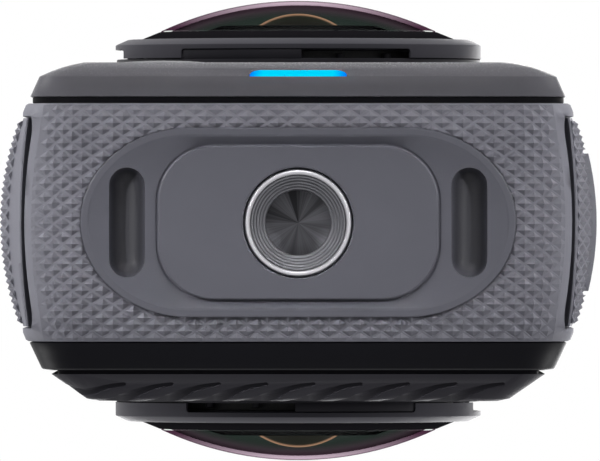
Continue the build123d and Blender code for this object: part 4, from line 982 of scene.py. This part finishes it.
@dataclass
class LensModule:
    """One lens: bayonet base, turning ring with its windows, clamping ring, dome and the lining of painted
    shade under it.
    """

    side: Side
    ring_radius: float = 15.2
    wall_inner: float = 14.98
    ring_foot: float = 14.25
    ring_top: float = 15.85
    chamfer_run: float = 1.05
    chamfer_drop: float = 0.47
    lip_inner: float = 13.15
    seat: float = 15.3
    shelf_outer: float = 13.3
    bore: float = 11.6
    shelf: float = 14.85
    window_top: float = 15.0
    window_corner: float = 0.3
    windows: tuple[float, ...] = (0.0, 130.0, 250.0)
    window_start: float = -39.5
    window_sweep: float = 77.0
    lug_start: float = -51.5
    lug_sweep: float = 26.0
    lug_inner: float = 14.0
    lug_top: float = 14.54
    base_radius: float = 15.1
    base_bore: float = 11.9
    base_foot: float = 10.29
    base_top: float = 14.2
    block_inner: float = 13.45
    block_outer: float = 15.12
    block_top: float = 14.92
    block_start: float = -39.0
    block_sweep: float = 40.0
    posts: tuple[float, ...] = (14.8, 32.7)
    post_radius: float = 0.35
    post_at: float = 13.5
    post_top: float = 14.62
    post_edge: float = 0.06
    dome_sphere: float = 27.0
    dome_apex: float = 19.1
    dome_wall: float = 0.36
    dome_rim: float = 11.4
    lining_gap: float = 0.04
    flange_radius: float = 12.2
    flange: float = 0.4
    clamp_top: float = 16.5
    clamp_inner: float = 11.5
    clamp_outer: float = 13.1

    def body(self) -> Body:
        """The body that turns."""
        return Body.FRONT_LENS if self.side is Side.FRONT else Body.REAR_LENS

    def turned(self, points: Points, start: float = 0.0, sweep: float = 360.0, steps: int = 128,
               closed: bool = True) -> Mesh:
        """Turn a profile about the front lens axis, from straight down towards +X."""
        return spin_profile(points, Vector((0, 0, LENS_Z)), Vector((0, -1, 0)), steps, start, sweep, closed)

    def wedge(self, outer: float, inner: float, start: float, sweep: float, low: float, high: float) -> Mesh:
        """A ring segment between two radii, angles and heights."""
        section = [(outer, low), (outer, high), (inner, high), (inner, low)]
        return self.turned(section, start, sweep, max(4, round(sweep / 2.5)))

    def finish(self, part: str, mesh: Mesh, slot: str, body: Body, finishes: Finishes,
               nodes: Iterable[str] = (), smooth: float = 30.0, finish: Optional[str] = None) -> None:
        """Turn a mesh to its side of the camera and put it into the scene.

        Args:
            part: The piece's name without its side.
            mesh: Its shape, on the front lens axis.
            slot: The record slot that gives the finish.
            body: The body that it rides on.
            finishes: The finishes.
            nodes: CAD nodes that it stands for, without their side.
            smooth: Edges that turn more than this many degrees stay sharp.
            finish: A finish that differs from the slot's own.
        """
        turn = Matrix.Rotation(math.radians(self.side.value), 3, "Z")
        bmesh.ops.rotate(mesh, verts=mesh.verts, cent=(0, 0, 0), matrix=turn)
        prefix = self.side.name.lower() + "_"
        put(prefix + part, mesh, slot, body, finishes, [prefix + node for node in nodes], smooth, finish)

    def window(self, turn: float) -> Mesh:
        """The cutter of one window, its upper corners rounded.

        Args:
            turn: The window's direction in degrees.

        Returns:
            The closed cutter.
        """
        mesh = self.wedge(self.ring_radius + 0.4, self.wall_inner - 0.4, turn + self.window_start,
                          self.window_sweep, self.ring_foot - 0.3, self.window_top)
        corners = [edge for edge in mesh.edges
                   if len(edge.link_faces) == 2 and edge.calc_face_angle(0) > 1.2 and self.is_radial(edge)
                   and all(-vert.co.y > self.window_top - 1e-3 for vert in edge.verts)]
        bmesh.ops.bevel(mesh, geom=corners, offset=self.window_corner, offset_type="OFFSET", segments=4,
                        profile=0.5, affect="EDGES", material=-1)
        return mesh

    def is_radial(self, edge: bmesh.types.BMEdge) -> bool:
        """Whether an edge points at the lens axis."""
        low, high = (math.hypot(vert.co.x, vert.co.z - LENS_Z) for vert in edge.verts)
        return abs(low - high) > 0.1

    def ring(self) -> Mesh:
        """The turning ring with its windows, shelf and lugs.

        Returns:
            The joined mesh.
        """
        wall = self.turned([
            (self.ring_radius, self.ring_foot), (self.ring_radius, self.ring_top - self.chamfer_drop),
            (self.ring_radius - self.chamfer_run, self.ring_top), (self.lip_inner, self.ring_top),
            (self.lip_inner, self.seat), (self.wall_inner, self.seat), (self.wall_inner, self.ring_foot)])
        round_edges(wall, 0.07, 20.0, 2, lambda point: -point.y > self.seat)
        lugs = []
        for turn in self.windows:
            wall = cut_away(wall, self.window(turn))
            lugs.append(self.wedge(self.wall_inner + 0.02, self.lug_inner, turn + self.lug_start,
                                   self.lug_sweep, self.ring_foot, self.lug_top))
            round_edges(lugs[-1], 0.05)
        shelf = self.wedge(self.shelf_outer, self.bore, 0, 360, self.shelf, self.seat + 0.01)
        return join([wall, shelf] + lugs)

    def base(self) -> Mesh:
        """The fixed ring with its bayonet blocks and posts.

        Returns:
            The joined mesh.
        """
        parts = [self.wedge(self.base_radius, self.base_bore, 0, 360, self.base_foot, self.base_top)]
        round_edges(parts[0], 0.08)
        for turn in self.windows:
            block = self.wedge(self.block_outer, self.block_inner, turn + self.block_start,
                               self.block_sweep, self.base_top - 0.05, self.block_top)
            round_edges(block, 0.05)
            parts += [block] + [self.post(turn + angle) for angle in self.posts]
        return join(parts)

    def post(self, angle: float) -> Mesh:
        """A short round stop post.

        Args:
            angle: Its direction from the lens axis in degrees.

        Returns:
            The closed post.
        """
        turn = math.radians(angle)
        centre = Vector((self.post_at * math.sin(turn), 0, LENS_Z - self.post_at * math.cos(turn)))
        foot = self.base_top - 0.05
        section = [(0, foot), (self.post_radius, foot), (self.post_radius, self.post_top - self.post_edge),
                   (self.post_radius - self.post_edge, self.post_top), (0, self.post_top)]
        return spin_profile(section, centre, Vector((0, -1, 0)), 24)

    def arc(self, less: float, rim: float, steps: int = 14) -> Points:
        """A section of the dome's sphere from its apex to a rim.

        Args:
            less: How far it lies under the dome's outer face.
            rim: The rim's radius.
            steps: Segments of the section.

        Returns:
            Its points.
        """
        sphere, apex = self.dome_sphere - less, self.dome_apex - less
        angles = [math.asin(rim / sphere) * step / steps for step in range(steps + 1)]
        return [(sphere * math.sin(angle), apex - sphere + sphere * math.cos(angle)) for angle in angles]

    def dome(self) -> Mesh:
        """The cover glass with its flange.

        Returns:
            The closed glass.
        """
        inner_rim = self.dome_rim - self.dome_wall
        rim = [(self.dome_rim, self.seat + self.flange), (self.flange_radius, self.seat + self.flange),
               (self.flange_radius, self.seat), (inner_rim, self.seat)]
        return self.turned(self.arc(0.0, self.dome_rim) + rim + self.arc(self.dome_wall, inner_rim)[::-1])

    def lining(self) -> Mesh:
        """The skin under the glass that carries the painted shade, its faces towards the hollow.

        Returns:
            The open skin.
        """
        mesh = self.turned(self.arc(self.dome_wall + self.lining_gap, self.dome_rim - self.dome_wall - 0.1),
                           closed=False)
        bmesh.ops.reverse_faces(mesh, faces=[face for face in mesh.faces if face.normal.y < 0])
        return mesh

    def clamp(self) -> Mesh:
        """The conical ring that holds the glass.

        Returns:
            The closed ring.
        """
        free, flange_top = self.flange_radius + 0.02, self.seat + self.flange
        ring = self.turned([
            (self.clamp_inner, self.clamp_top), (self.clamp_outer, self.ring_top),
            (self.clamp_outer, self.seat), (free, self.seat), (free, flange_top),
            (self.clamp_inner, flange_top)])
        round_edges(ring, 0.05)
        return ring

    def build(self, finishes: Finishes) -> None:
        """Make the whole module.

        Args:
            finishes: The finishes.
        """
        body = self.body()
        self.finish("bayonet_base", self.base(), "lens_base_black", Body.CAMERA, finishes, ["lens_base"])
        self.finish("turning_ring", self.ring(), "lens_ring_black", body, finishes, ["lens_ring"])
        self.finish("clamp_ring", self.clamp(), "retainer_black", body, finishes, ["retaining_ring"])
        self.finish("dome", self.dome(), "dome_glass", body, finishes, ["cover_glass"], 60.0)
        # a sheet under the glass that paints the dome's shaded inside, with a painted glow
        self.finish("dome_shade_lining", self.lining(), "dome_glass", body, finishes, smooth=60.0,
                    finish="dome_shade_lining")


@dataclass
class Lattice:
    """Staggered pyramids with flat valleys, laid out flat and then placed on a surface."""

    long_pitch: float = 1.58
    short_pitch: float = 1.03
    valley: float = 0.085
    height: float = 0.32
    foot: float = 0.05

    def tile(self) -> Mesh:
        """One rhombic pyramid with half a valley all round, centred on the origin.

        Returns:
            The tile.
        """
        mesh = bmesh.new()
        bmesh.ops.create_circle(mesh, cap_ends=True, radius=0.5, segments=4)
        bmesh.ops.scale(mesh, vec=(self.long_pitch, self.short_pitch, 1), verts=mesh.verts)
        bmesh.ops.inset_individual(mesh, faces=mesh.faces[:], thickness=self.valley, use_even_offset=True)
        crown = max(mesh.faces, key=lambda face: -face.calc_center_median().length)
        for vert in bmesh.ops.poke(mesh, faces=[crown])["verts"]:
            vert.co.z = self.height
        return mesh

    def sheet(self, low: Vector, high: Vector) -> Mesh:
        """A rectangle of tiles, cut square at its sides.

        Args:
            low: Its lower corner in (along, across).
            high: Its upper corner.

        Returns:
            The flat sheet.
        """
        mesh = self.tile()
        first = Vector((math.floor(low.x / self.long_pitch) * self.long_pitch,
                        math.floor(low.y / self.short_pitch) * self.short_pitch, 0))
        bmesh.ops.translate(mesh, vec=first, verts=mesh.verts)
        rows = [(Vector((self.long_pitch / 2, self.short_pitch / 2, 0)), 1)]
        for axis, pitch, reach in ((0, self.long_pitch, high.x), (1, self.short_pitch, high.y)):
            step = Vector((0, 0, 0))
            step[axis] = pitch
            rows.append((step, math.ceil((reach - first[axis]) / pitch) + 1))
        for step, count in rows:
            bmesh.ops.spin(mesh, geom=everything(mesh), axis=(0, 0, 1), angle=0, cent=(0, 0, 0), dvec=step,
                           steps=count, use_duplicate=True)
        for point, normal in ((low, (-1, 0, 0)), (low, (0, -1, 0)), (high, (1, 0, 0)), (high, (0, 1, 0))):
            bmesh.ops.bisect_plane(mesh, geom=everything(mesh), dist=1e-5, plane_co=(point.x, point.y, 0),
                                   plane_no=normal, clear_outer=True)
        return mesh

    def carve(self, mesh: Mesh, nearest: Outline) -> None:
        """Cut a rounded hole into a flat sheet, tile by tile.

        Args:
            mesh: The flat sheet.
            nearest: Gives the hole outline's nearest point and its outward normal.
        """
        gone = []
        for faces in islands(mesh):
            middle = sum((face.calc_center_median() for face in faces), Vector()) / len(faces)
            point, normal = nearest(middle)
            depth = (middle - point).dot(normal)
            if depth < -self.long_pitch:
                gone.extend(faces)
            elif depth < self.long_pitch:
                bmesh.ops.bisect_plane(mesh, geom=with_corners(faces), dist=1e-5, plane_co=point,
                                       plane_no=normal, clear_inner=True)
        bmesh.ops.delete(mesh, geom=gone, context="FACES")

    def wall(self, mesh: Mesh) -> None:
        """Give a flat sheet low walls along its open edges, so that no cut pyramid is hollow.

        Args:
            mesh: The flat sheet.
        """
        bmesh.ops.remove_doubles(mesh, verts=mesh.verts, dist=0.004)
        for vert in grow(mesh, open_edges(mesh))[0]:
            vert.co.z = -self.foot


@dataclass
class GripBand:
    """The textured band with its pyramids round the base inlay."""

    half_width: float = 21.99
    corner: float = 5.1
    front: float = -9.77
    rear: float = 8.52
    shoulder_drop: float = 1.1
    shoulder_run: float = 2.6
    shoulder_turn: float = 60.0
    texture_reach: float = 20.5
    bulge: float = 0.42
    edge_margin: float = 0.12
    oval_straight: float = 8.34
    oval_end: float = 8.4
    oval_half: float = 7.3
    depth: float = 0.32
    skin: float = 0.25
    fade_side: float = 0.9
    fade_edge: float = 0.3
    ledge_reach: float = 21.03
    ledge_bulge: float = 0.2
    crown_drop: float = 0.95
    window_low: float = 1.95
    strips: int = 18
    ledge_cuts: tuple[float, ...] = (-5.0, -2.8, BAND_Y, 1.6, 3.8)
    lattice: Lattice = field(default_factory=Lattice)

    @property
    def straight(self) -> float:
        """Where the flat underside ends and the corner starts."""
        return self.half_width - self.corner

    def share(self, y: float) -> float:
        """A place along Y as a share of the band's half width, from its middle."""
        return (y - BAND_Y) / (self.rear - self.front) * 2

    def inset(self, y: float) -> float:
        """How far the shoulder drops at a place along Y.

        Args:
            y: The place.

        Returns:
            The drop.
        """
        flat_front, flat_rear = self.front + self.shoulder_run, self.rear - self.shoulder_run
        past = max(flat_front - y, y - flat_rear, 0.0) / self.shoulder_run
        turn = math.radians(self.shoulder_turn)
        angle = math.asin(min(1.0, past * math.sin(turn)))
        return self.shoulder_drop * (1 - math.cos(angle)) / (1 - math.cos(turn))

    def place(self, along: float, y: float, height: float) -> Vector:
        """The point on the band's underside.

        Args:
            along: Distance from the middle along the bottom outline.
            y: Place along Y.
            height: Height above the valleys.

        Returns:
            The point, with the valleys sunk by the texture's depth there.
        """
        sink = self.inset(y) + self.sink(along, y) * (1 - height / self.depth)
        past = abs(along) - self.straight
        if past <= 0:
            return Vector((along, y, sink))
        angle, radius = past / self.corner, self.corner - sink
        return Vector((math.copysign(1.0, along) * (self.straight + radius * math.sin(angle)), y,
                       self.corner - radius * math.cos(angle)))

    def sink(self, along: float, y: float) -> float:
        """The texture's depth at a place, fading to nothing at its sides and edges.

        Args:
            along: Distance from the middle along the bottom outline.
            y: Place along Y.

        Returns:
            The depth.
        """
        side = (self.limit(y) - abs(along)) / self.fade_side
        edge = (min(y - self.front, self.rear - y) - self.edge_margin) / self.fade_edge
        return self.depth * max(0.0, min(1.0, side)) * max(0.3, min(1.0, edge))

    def along(self, reach: float) -> float:
        """The distance along the bottom outline at which the corner reaches an X."""
        return self.straight + self.corner * math.asin((reach - self.straight) / self.corner)

    def limit(self, y: float) -> float:
        """Where the texture ends along the outline, following the side piece's curve."""
        return self.along(self.texture_reach - self.bulge * self.share(y) ** 2)

    def oval(self, point: Vector) -> tuple[Vector, Vector]:
        """The inlay outline's nearest point and outward normal.

        Args:
            point: A point in (along, y).

        Returns:
            The nearest point and the normal there.
        """
        y = point.y - BAND_Y
        if abs(point.x) <= self.oval_straight:
            sign = math.copysign(1.0, y)
            return Vector((point.x, BAND_Y + sign * self.oval_half, 0)), Vector((0, sign, 0))
        sign = math.copysign(1.0, point.x)
        angle = math.atan2(y / self.oval_half, (abs(point.x) - self.oval_straight) / self.oval_end)
        spot = Vector((sign * (self.oval_straight + self.oval_end * math.cos(angle)),
                       BAND_Y + self.oval_half * math.sin(angle), 0))
        normal = Vector((sign * math.cos(angle) / self.oval_end, math.sin(angle) / self.oval_half, 0))
        return spot, normal.normalized()

    def side_line(self, point: Vector) -> tuple[Vector, Vector]:
        """The side limit's nearest point, with a normal that points into the texture."""
        sign = math.copysign(1.0, point.x)
        return Vector((sign * self.limit(point.y), point.y, 0)), Vector((-sign, 0, 0))

    def crowned(self, point: Vector) -> Vector:
        """Draw a point of the band's sides in towards the covers, as a shallow arc.

        Args:
            point: The point; it is changed.

        Returns:
            The point.
        """
        past = (abs(point.x) - self.straight) / self.corner
        if past <= 0:
            return point
        extra = self.crown_drop * self.share(point.y) ** 2 - self.inset(point.y)
        past = min(1.0, past)
        point.x -= math.copysign(extra * past * past * (3 - 2 * past), point.x)
        return point

    def texture(self) -> Mesh:
        """The pyramids, cut to the inlay and to the sides and bent onto the band.

        Returns:
            The texture's skin.
        """
        top = self.limit(BAND_Y)
        mesh = self.lattice.sheet(Vector((-top, self.front + self.edge_margin, 0)),
                                  Vector((top, self.rear - self.edge_margin, 0)))
        self.lattice.carve(mesh, self.oval)
        self.lattice.carve(mesh, self.side_line)
        self.lattice.wall(mesh)
        for vert in mesh.verts:
            vert.co = self.crowned(self.place(*vert.co))
        return mesh

    def shell(self) -> Mesh:
        """The CAD band without the skin that the pyramids replace, with a step down to them.

        Returns:
            The shell.
        """
        mesh = copy_of("grip_band")
        low, high = self.front + self.edge_margin, self.rear - self.edge_margin
        for y in (low, high):
            slice_at(mesh, y)
        lines = [low + (high - low) * index / self.strips for index in range(self.strips + 1)]
        for y in lines[1:-1]:
            slice_at(mesh, y, self.near_base(mesh))
        for strip in zip(lines, lines[1:]):
            self.cut_strip(mesh, *strip)
        skin = [face for face in mesh.faces if self.is_skin(face)]
        border = dict.fromkeys(edge for face in skin for edge in face.edges)
        bmesh.ops.delete(mesh, geom=skin, context="FACES")
        for vert in grow(mesh, [edge for edge in border if edge.is_valid and edge.is_boundary])[0]:
            vert.co = self.sunk(vert.co)
        for y in self.ledge_cuts:
            slice_at(mesh, y)
        for vert in mesh.verts:
            self.curve_ledge(vert)
            vert.co = self.crowned(vert.co)
        return mesh

    def near_base(self, mesh: Mesh) -> list:
        """The geometry of the band's underside."""
        return with_corners([face for face in mesh.faces
                             if all(vert.co.z < self.corner for vert in face.verts)])

    def cut_strip(self, mesh: Mesh, low: float, high: float) -> None:
        """Cut one strip of the underside where the texture ends on both sides.

        Args:
            mesh: The band.
            low: Where the strip starts along Y.
            high: Where it ends.
        """
        angle = (self.limit((low + high) / 2) - self.straight) / self.corner
        for flank in Flank:
            middles = ((face, face.calc_center_median()) for face in mesh.faces)
            faces = [face for face, middle in middles if low < middle.y < high and middle.z < self.corner]
            bmesh.ops.bisect_plane(mesh, geom=with_corners(faces), dist=1e-4,
                                   plane_co=(flank.value * self.straight, 0, self.corner),
                                   plane_no=(flank.value * math.cos(angle), 0, math.sin(angle)))

    def is_skin(self, face: bmesh.types.BMFace) -> bool:
        """Whether a face is outer skin in the textured region.

        Args:
            face: A face of the band.

        Returns:
            True for the skin that the pyramids replace.
        """
        middle = face.calc_center_median()
        inside = self.front + self.edge_margin < middle.y < self.rear - self.edge_margin
        if not inside or middle.z > self.corner:
            return False
        deepest = self.inset(middle.y) + self.skin
        past, rise = abs(middle.x) - self.straight, self.corner - middle.z
        if past > 0:
            along = self.straight + self.corner * math.atan2(past, rise)
            return self.corner - math.hypot(past, rise) < deepest and along < self.limit(middle.y)
        return abs(middle.z - self.inset(middle.y)) < self.skin and face.normal.z < -0.3

    def sunk(self, point: Vector) -> Vector:
        """A skin point moved in by a little more than the texture's depth.

        Args:
            point: The point.

        Returns:
            The point moved square to the skin.
        """
        depth = self.depth + self.lattice.foot
        past = abs(point.x) - self.straight
        if past <= 0:
            return point + Vector((0, 0, depth))
        inward = Vector((-math.copysign(past, point.x), 0, self.corner - point.z)).normalized()
        return point + inward * depth

    def curve_ledge(self, vert: bmesh.types.BMVert) -> None:
        """Move a vertex of the side window's lower edge along the band's corner onto a curve.

        Args:
            vert: A vertex of the band.
        """
        if abs(vert.co.z - self.window_low) > 0.02 or abs(vert.co.x) < self.straight + 3.0:
            return
        reach = self.ledge_reach - self.ledge_bulge * self.share(vert.co.y) ** 2
        vert.co.x = math.copysign(reach, vert.co.x)
        vert.co.z = self.corner * (1 - math.cos(math.asin((reach - self.straight) / self.corner)))

    def build(self, finishes: Finishes) -> None:
        """Make the band and its texture."""
        put("grip_band_shell", self.shell(), "grip_rubber", Body.CAMERA, finishes, ["grip_band"])
        put("grip_band_texture", self.texture(), "grip_rubber", Body.CAMERA, finishes, smooth=12.0)


@dataclass
class SidePiece:
    """A side piece whose outer arc and slanted lower end carry pyramids."""

    node: str
    body: Body
    flank: Flank
    reach: float
    low: float
    high: float
    half_width: float = 7.95
    centre_y: float = -0.635
    sagitta: float = 1.5
    half_chord: float = 8.005
    depth: float = 0.3
    end_z: float = 5.0
    end_fall: float = 2.4
    end_reach: float = 21.75
    end_bulge: float = 0.55
    end_length: float = 2.88
    end_tilt: float = 34.0
    end_rings: int = 4
    cut_z: float = 4.6
    inner_x: float = 19.85
    inner_z: float = 4.4
    lip_width: float = 0.12
    slanted: bool = True
    round_holes: tuple[float, ...] = ()
    hole_radius: float = 4.0
    notch: Optional[tuple[float, float, float]] = None
    lattice: Lattice = field(default_factory=lambda: Lattice(height=0.3))

    def radius(self) -> float:
        """The outer arc's radius."""
        return (self.half_chord ** 2 + self.sagitta ** 2) / (2 * self.sagitta)

    def arc(self, y: float) -> float:
        """How far the outer arc reaches at a place along Y."""
        return self.reach - self.radius() + math.sqrt(self.radius() ** 2 - (y - self.centre_y) ** 2)

    def lip(self, y: float) -> float:
        """Where the slanted end starts at a place along Y."""
        return self.end_reach - self.end_bulge * ((y - self.centre_y) / self.half_chord) ** 2

    def place(self, along: float, across: float, height: float) -> Vector:
        """The point on the outer arc, or on the slanted end below it.

        Args:
            along: Height in Z, or less the distance down the slanted end.
            across: Distance round the arc from its middle.
            height: Height above the valleys.

        Returns:
            The point.
        """
        angle = across / self.radius()
        y = self.centre_y + self.radius() * math.sin(angle)
        out = height - self.depth
        past = max(0.0, self.end_z - along) / self.end_length if self.slanted else 0.0
        if past > 0:
            tilt = math.radians(self.end_tilt)
            x = self.arc(y) - past * (self.arc(y) - self.lip(y)) + out * math.cos(tilt)
            return Vector((self.flank.value * x, y, self.end_z - past * self.end_fall - out * math.sin(tilt)))
        x = self.arc(y) + out * math.cos(angle)
        return Vector((self.flank.value * x, y + out * math.sin(angle), along))

    def rectangles(self) -> list[tuple[Vector, Vector]]:
        """The textured rectangles.

        Returns:
            The lower and upper corner of each in (z, across).
        """
        half = self.half_width
        spans = [(self.low, -half, self.high, half)]
        if self.notch:
            low, high, side = self.notch
            spans = [(self.low, -half, high, -side), (self.low, side, high, half),
                     (self.low, -side, low, side), (high, -half, self.high, half)]
        return [(Vector((span[0], span[1], 0)), Vector((span[2], span[3], 0))) for span in spans]

    def hole(self, height: float) -> Outline:
        """The outline of a round hole in the texture.

        Args:
            height: The height of its middle.

        Returns:
            A function that gives its nearest point and outward normal.
        """
        centre = Vector((height, 0, 0))

        def nearest(point: Vector) -> tuple[Vector, Vector]:
            """Give the nearest point of the circle and its outward normal."""
            away = Vector((point.x - centre.x, point.y - centre.y, 0))
            normal = away.normalized() if away.length > 1e-6 else Vector((1, 0, 0))
            return centre + normal * self.hole_radius, normal

        return nearest

    def texture(self) -> Mesh:
        """The pyramids on the outer arc and the slanted end.

        Returns:
            The texture's skin.
        """
        sheets = []
        for low, high in self.rectangles():
            sheets.append(self.lattice.sheet(low, high))
            for height in self.round_holes:
                self.lattice.carve(sheets[-1], self.hole(height))
        whole = join(sheets)
        self.lattice.wall(whole)
        for vert in whole.verts:
            vert.co = self.place(*vert.co)
        if self.flank is Flank.LEFT:
            bmesh.ops.reverse_faces(whole, faces=whole.faces)
        return whole

    def shell(self) -> Mesh:
        """The CAD piece, its outer skin moved in under the pyramids and its lower end made anew.

        Returns:
            The closed shell.
        """
        mesh = copy_of(self.node)
        join_flat(mesh)
        if self.slanted:
            self.cut_end(mesh)
            for step in range(1, 10):
                slice_at(mesh, self.centre_y + self.half_width * (step / 5 - 1))
        for vert in mesh.verts:
            self.press(vert)
        return mesh

    def cut_end(self, mesh: Mesh) -> None:
        """Replace the lower end by a skin that narrows to the curved lip.

        Args:
            mesh: The side piece.
        """
        bmesh.ops.bisect_plane(mesh, geom=everything(mesh), plane_co=(0, 0, self.cut_z),
                               plane_no=(0, 0, -1), dist=1e-4, clear_outer=True)
        rim = open_edges(mesh)
        for step in range(1, self.end_rings + 1):
            verts, rim = grow(mesh, rim)
            for vert in verts:
                vert.co.z = self.cut_z - (self.cut_z - self.end_z + self.end_fall) * step / self.end_rings
        bmesh.ops.holes_fill(mesh, edges=rim, sides=0)

    def press(self, vert: bmesh.types.BMVert) -> None:
        """Move a vertex of the outer skin in to the valleys' level, and the inner one out to the lip.

        Args:
            vert: A vertex of the side piece.
        """
        arc, lip = self.arc(vert.co.y), self.lip(vert.co.y)
        limit = arc - self.depth - 0.02
        past = (self.end_z - vert.co.z) / self.end_fall if self.slanted else 0.0
        if past > 0:
            limit = min(limit, arc - min(past, 1.0) * (arc - lip + self.lattice.foot) - self.depth)
        if abs(vert.co.x) > limit:
            vert.co.x = self.flank.value * limit
        rise = (self.inner_z - vert.co.z) / (self.inner_z - self.end_z + self.end_fall)
        if self.slanted and rise > 0 and abs(vert.co.x) < self.inner_x + 0.05:
            vert.co.x = self.flank.value * (self.inner_x + rise * (limit - self.lip_width - self.inner_x))

    def build(self, finishes: Finishes) -> None:
        """Make the piece and its texture."""
        put(self.node + "_shell", self.shell(), "side_piece", self.body, finishes, [self.node])
        put(self.node + "_texture", self.texture(), "side_piece", self.body, finishes, smooth=12.0)


@dataclass
class SoftPiece:
    """A CAD node whose sharp edges get a small rounding."""

    node: str
    slot: str
    body: Body = Body.CAMERA
    width: float = 0.15

    def build(self, finishes: Finishes) -> None:
        """Make the rounded copy in the node's place.

        Args:
            finishes: The finishes.
        """
        mesh = copy_of(self.node)
        join_flat(mesh)
        round_edges(mesh, self.width)
        put(self.node + "_soft", mesh, self.slot, self.body, finishes, [self.node])


@dataclass(frozen=True)
class Lamp:
    """A rectangular soft lamp."""

    name: str
    place: Rgb
    aim: Rgb
    size: tuple[float, float]
    power: float
    beam: float = 180.0

    def hang(self) -> None:
        """Put the lamp into the scene, facing the point that it aims at."""
        data = bpy.data.lights.new(self.name, "AREA")
        data.shape = "RECTANGLE"
        data.size, data.size_y = self.size
        data.energy = self.power
        data.spread = math.radians(self.beam)
        lamp = link(self.name, data)
        lamp.location = self.place
        lamp.rotation_euler = (Vector(self.aim) - Vector(self.place)).to_track_quat("-Z", "Y").to_euler()


@dataclass
class Studio:
    """White surroundings, soft lamps and the photograph's view from below, in metres."""

    distance: float = 1.220
    offset_x: float = 0.000138
    lens: float = 954.9
    floor_size: float = 4.0
    floor_drop: float = 0.00005

    def camera(self) -> None:
        """Place the camera straight under the base, its picture's top towards the screen side."""
        data = bpy.data.cameras.new("view")
        data.sensor_width = 36.0
        data.lens = self.lens
        data.clip_start, data.clip_end = 0.05, 50.0
        camera = link("view", data)
        camera.location = (self.offset_x, 0, -self.distance)
        camera.rotation_euler = (math.pi, 0, 0)
        bpy.context.scene.camera = camera

    def world(self) -> None:
        """White for camera, glossy and transmitted rays, a soft grey for the rest."""
        graph = Graph(bpy.data.worlds.new("surroundings"))
        path = graph.add("LightPath").outputs
        shown = graph.math("MAXIMUM", path["Is Camera Ray"], path["Is Transmission Ray"])
        shown = graph.math("MAXIMUM", shown, path["Is Glossy Ray"])
        colour = graph.add("Mix", {0: shown, 6: (0.22, 0.22, 0.23, 1), 7: (1, 1, 1, 1)}, data_type="RGBA")
        back = graph.add("Background", {"Color": colour.outputs[2], "Strength": 1.0})
        bpy.context.scene.world = graph.finish(back, "OutputWorld")

    def floor(self) -> None:
        """A pale floor that is seen from above only."""
        graph = Graph(bpy.data.materials.new("floor"))
        pale = graph.add("BsdfDiffuse", {"Color": (0.9, 0.9, 0.9, 1)})
        material = graph.finish(graph.blend(graph.behind(), pale, graph.add("BsdfTransparent")))
        mesh = bmesh.new()
        bmesh.ops.create_grid(mesh, x_segments=1, y_segments=1, size=self.floor_size / 2)
        floor = link("floor", bake("floor", mesh))
        floor.location.z = -self.floor_drop
        dress(floor, material)
        for ray in ("shadow", "diffuse", "glossy", "transmission"):
            setattr(floor, "visible_" + ray, False)

    def lamps(self) -> list[Lamp]:
        """The lamps: a pair low, beside the ribs and beside the screen, one low in front, one above.

        Returns:
            The lamps.
        """
        middle = (0.0, 0.0, 0.06)
        lamps = []
        for name, side, low, screen in (("left", -1, 0.0022, 8.0), ("right", 1, 0.0018, 6.0)):
            lamps += [
                Lamp(name + "_low", (side * 0.13, -0.075, -0.15), (side * 0.014, 0.0, 0.0), (0.015, 0.015),
                     low, 14.0),
                Lamp(name + "_rib", (side * 0.85, 0.6, 0.35), middle, (0.5, 0.5), 5.0),
                Lamp(name + "_screen", (side * 0.8, -0.75, 0.45), middle, (0.5, 0.6), screen)]
        return lamps + [Lamp("front_low", (0.0, -0.3, -0.16), (0.0, 0.0, 0.0), (0.16, 0.05), 0.28),
                        Lamp("above", (0.2, 0.1, 0.9), middle, (0.6, 0.6), 5.0)]

    def build(self) -> None:
        """Set up the whole studio."""
        bpy.context.scene.view_settings.view_transform = "Standard"
        self.camera()
        self.world()
        self.floor()
        for lamp in self.lamps():
            lamp.hang()


def side_pieces() -> list[SidePiece]:
    """The door, the button panel and the battery cover."""
    return [
        SidePiece("usb_door", Body.DOOR, Flank.LEFT, 23.0, 3.9, 36.6),
        SidePiece("side_panel", Body.CAMERA, Flank.LEFT, 23.0, 40.3, 69.5, slanted=False,
                  round_holes=(61.5, 49.5)),
        SidePiece("battery_cover", Body.BATTERY, Flank.RIGHT, 22.9, 2.15, 69.5, notch=(4.6, 17.4, 5.7)),
    ]


def soft_pieces() -> list[SoftPiece]:
    """The plain visible nodes, with the rounding that each has."""
    return [
        SoftPiece("front_cover", "front_metal", width=0.12),
        SoftPiece("rear_cover", "rear_shell", width=0.12),
        SoftPiece("rear_ribbed_panel", "ribbed_panel", width=0.12),
        SoftPiece("battery_latch", "latch_plastic", Body.LATCH),
        SoftPiece("touchscreen_glass", "screen_glass", width=0.12),
        SoftPiece("shutter_button", "button_plastic", Body.SHUTTER),
        SoftPiece("lens_button", "button_plastic", Body.LENS_KEY),
        SoftPiece("power_button", "button_plastic", Body.POWER),
        SoftPiece("quick_button", "button_plastic", Body.QUICK),
    ]


def main() -> None:
    """Build the studio and dress the camera, one sub-assembly after another."""
    logging.basicConfig(level=logging.INFO)
    Studio().build()
    finishes = Finishes()
    finishes.dress_nodes()
    lenses = [LensModule(side) for side in Side]
    for assembly in [GripBand(), BaseInlay(), ThreadInsert(), *lenses, *side_pieces(), *soft_pieces()]:
        assembly.build(finishes)


if __name__ == "__main__":
    main()
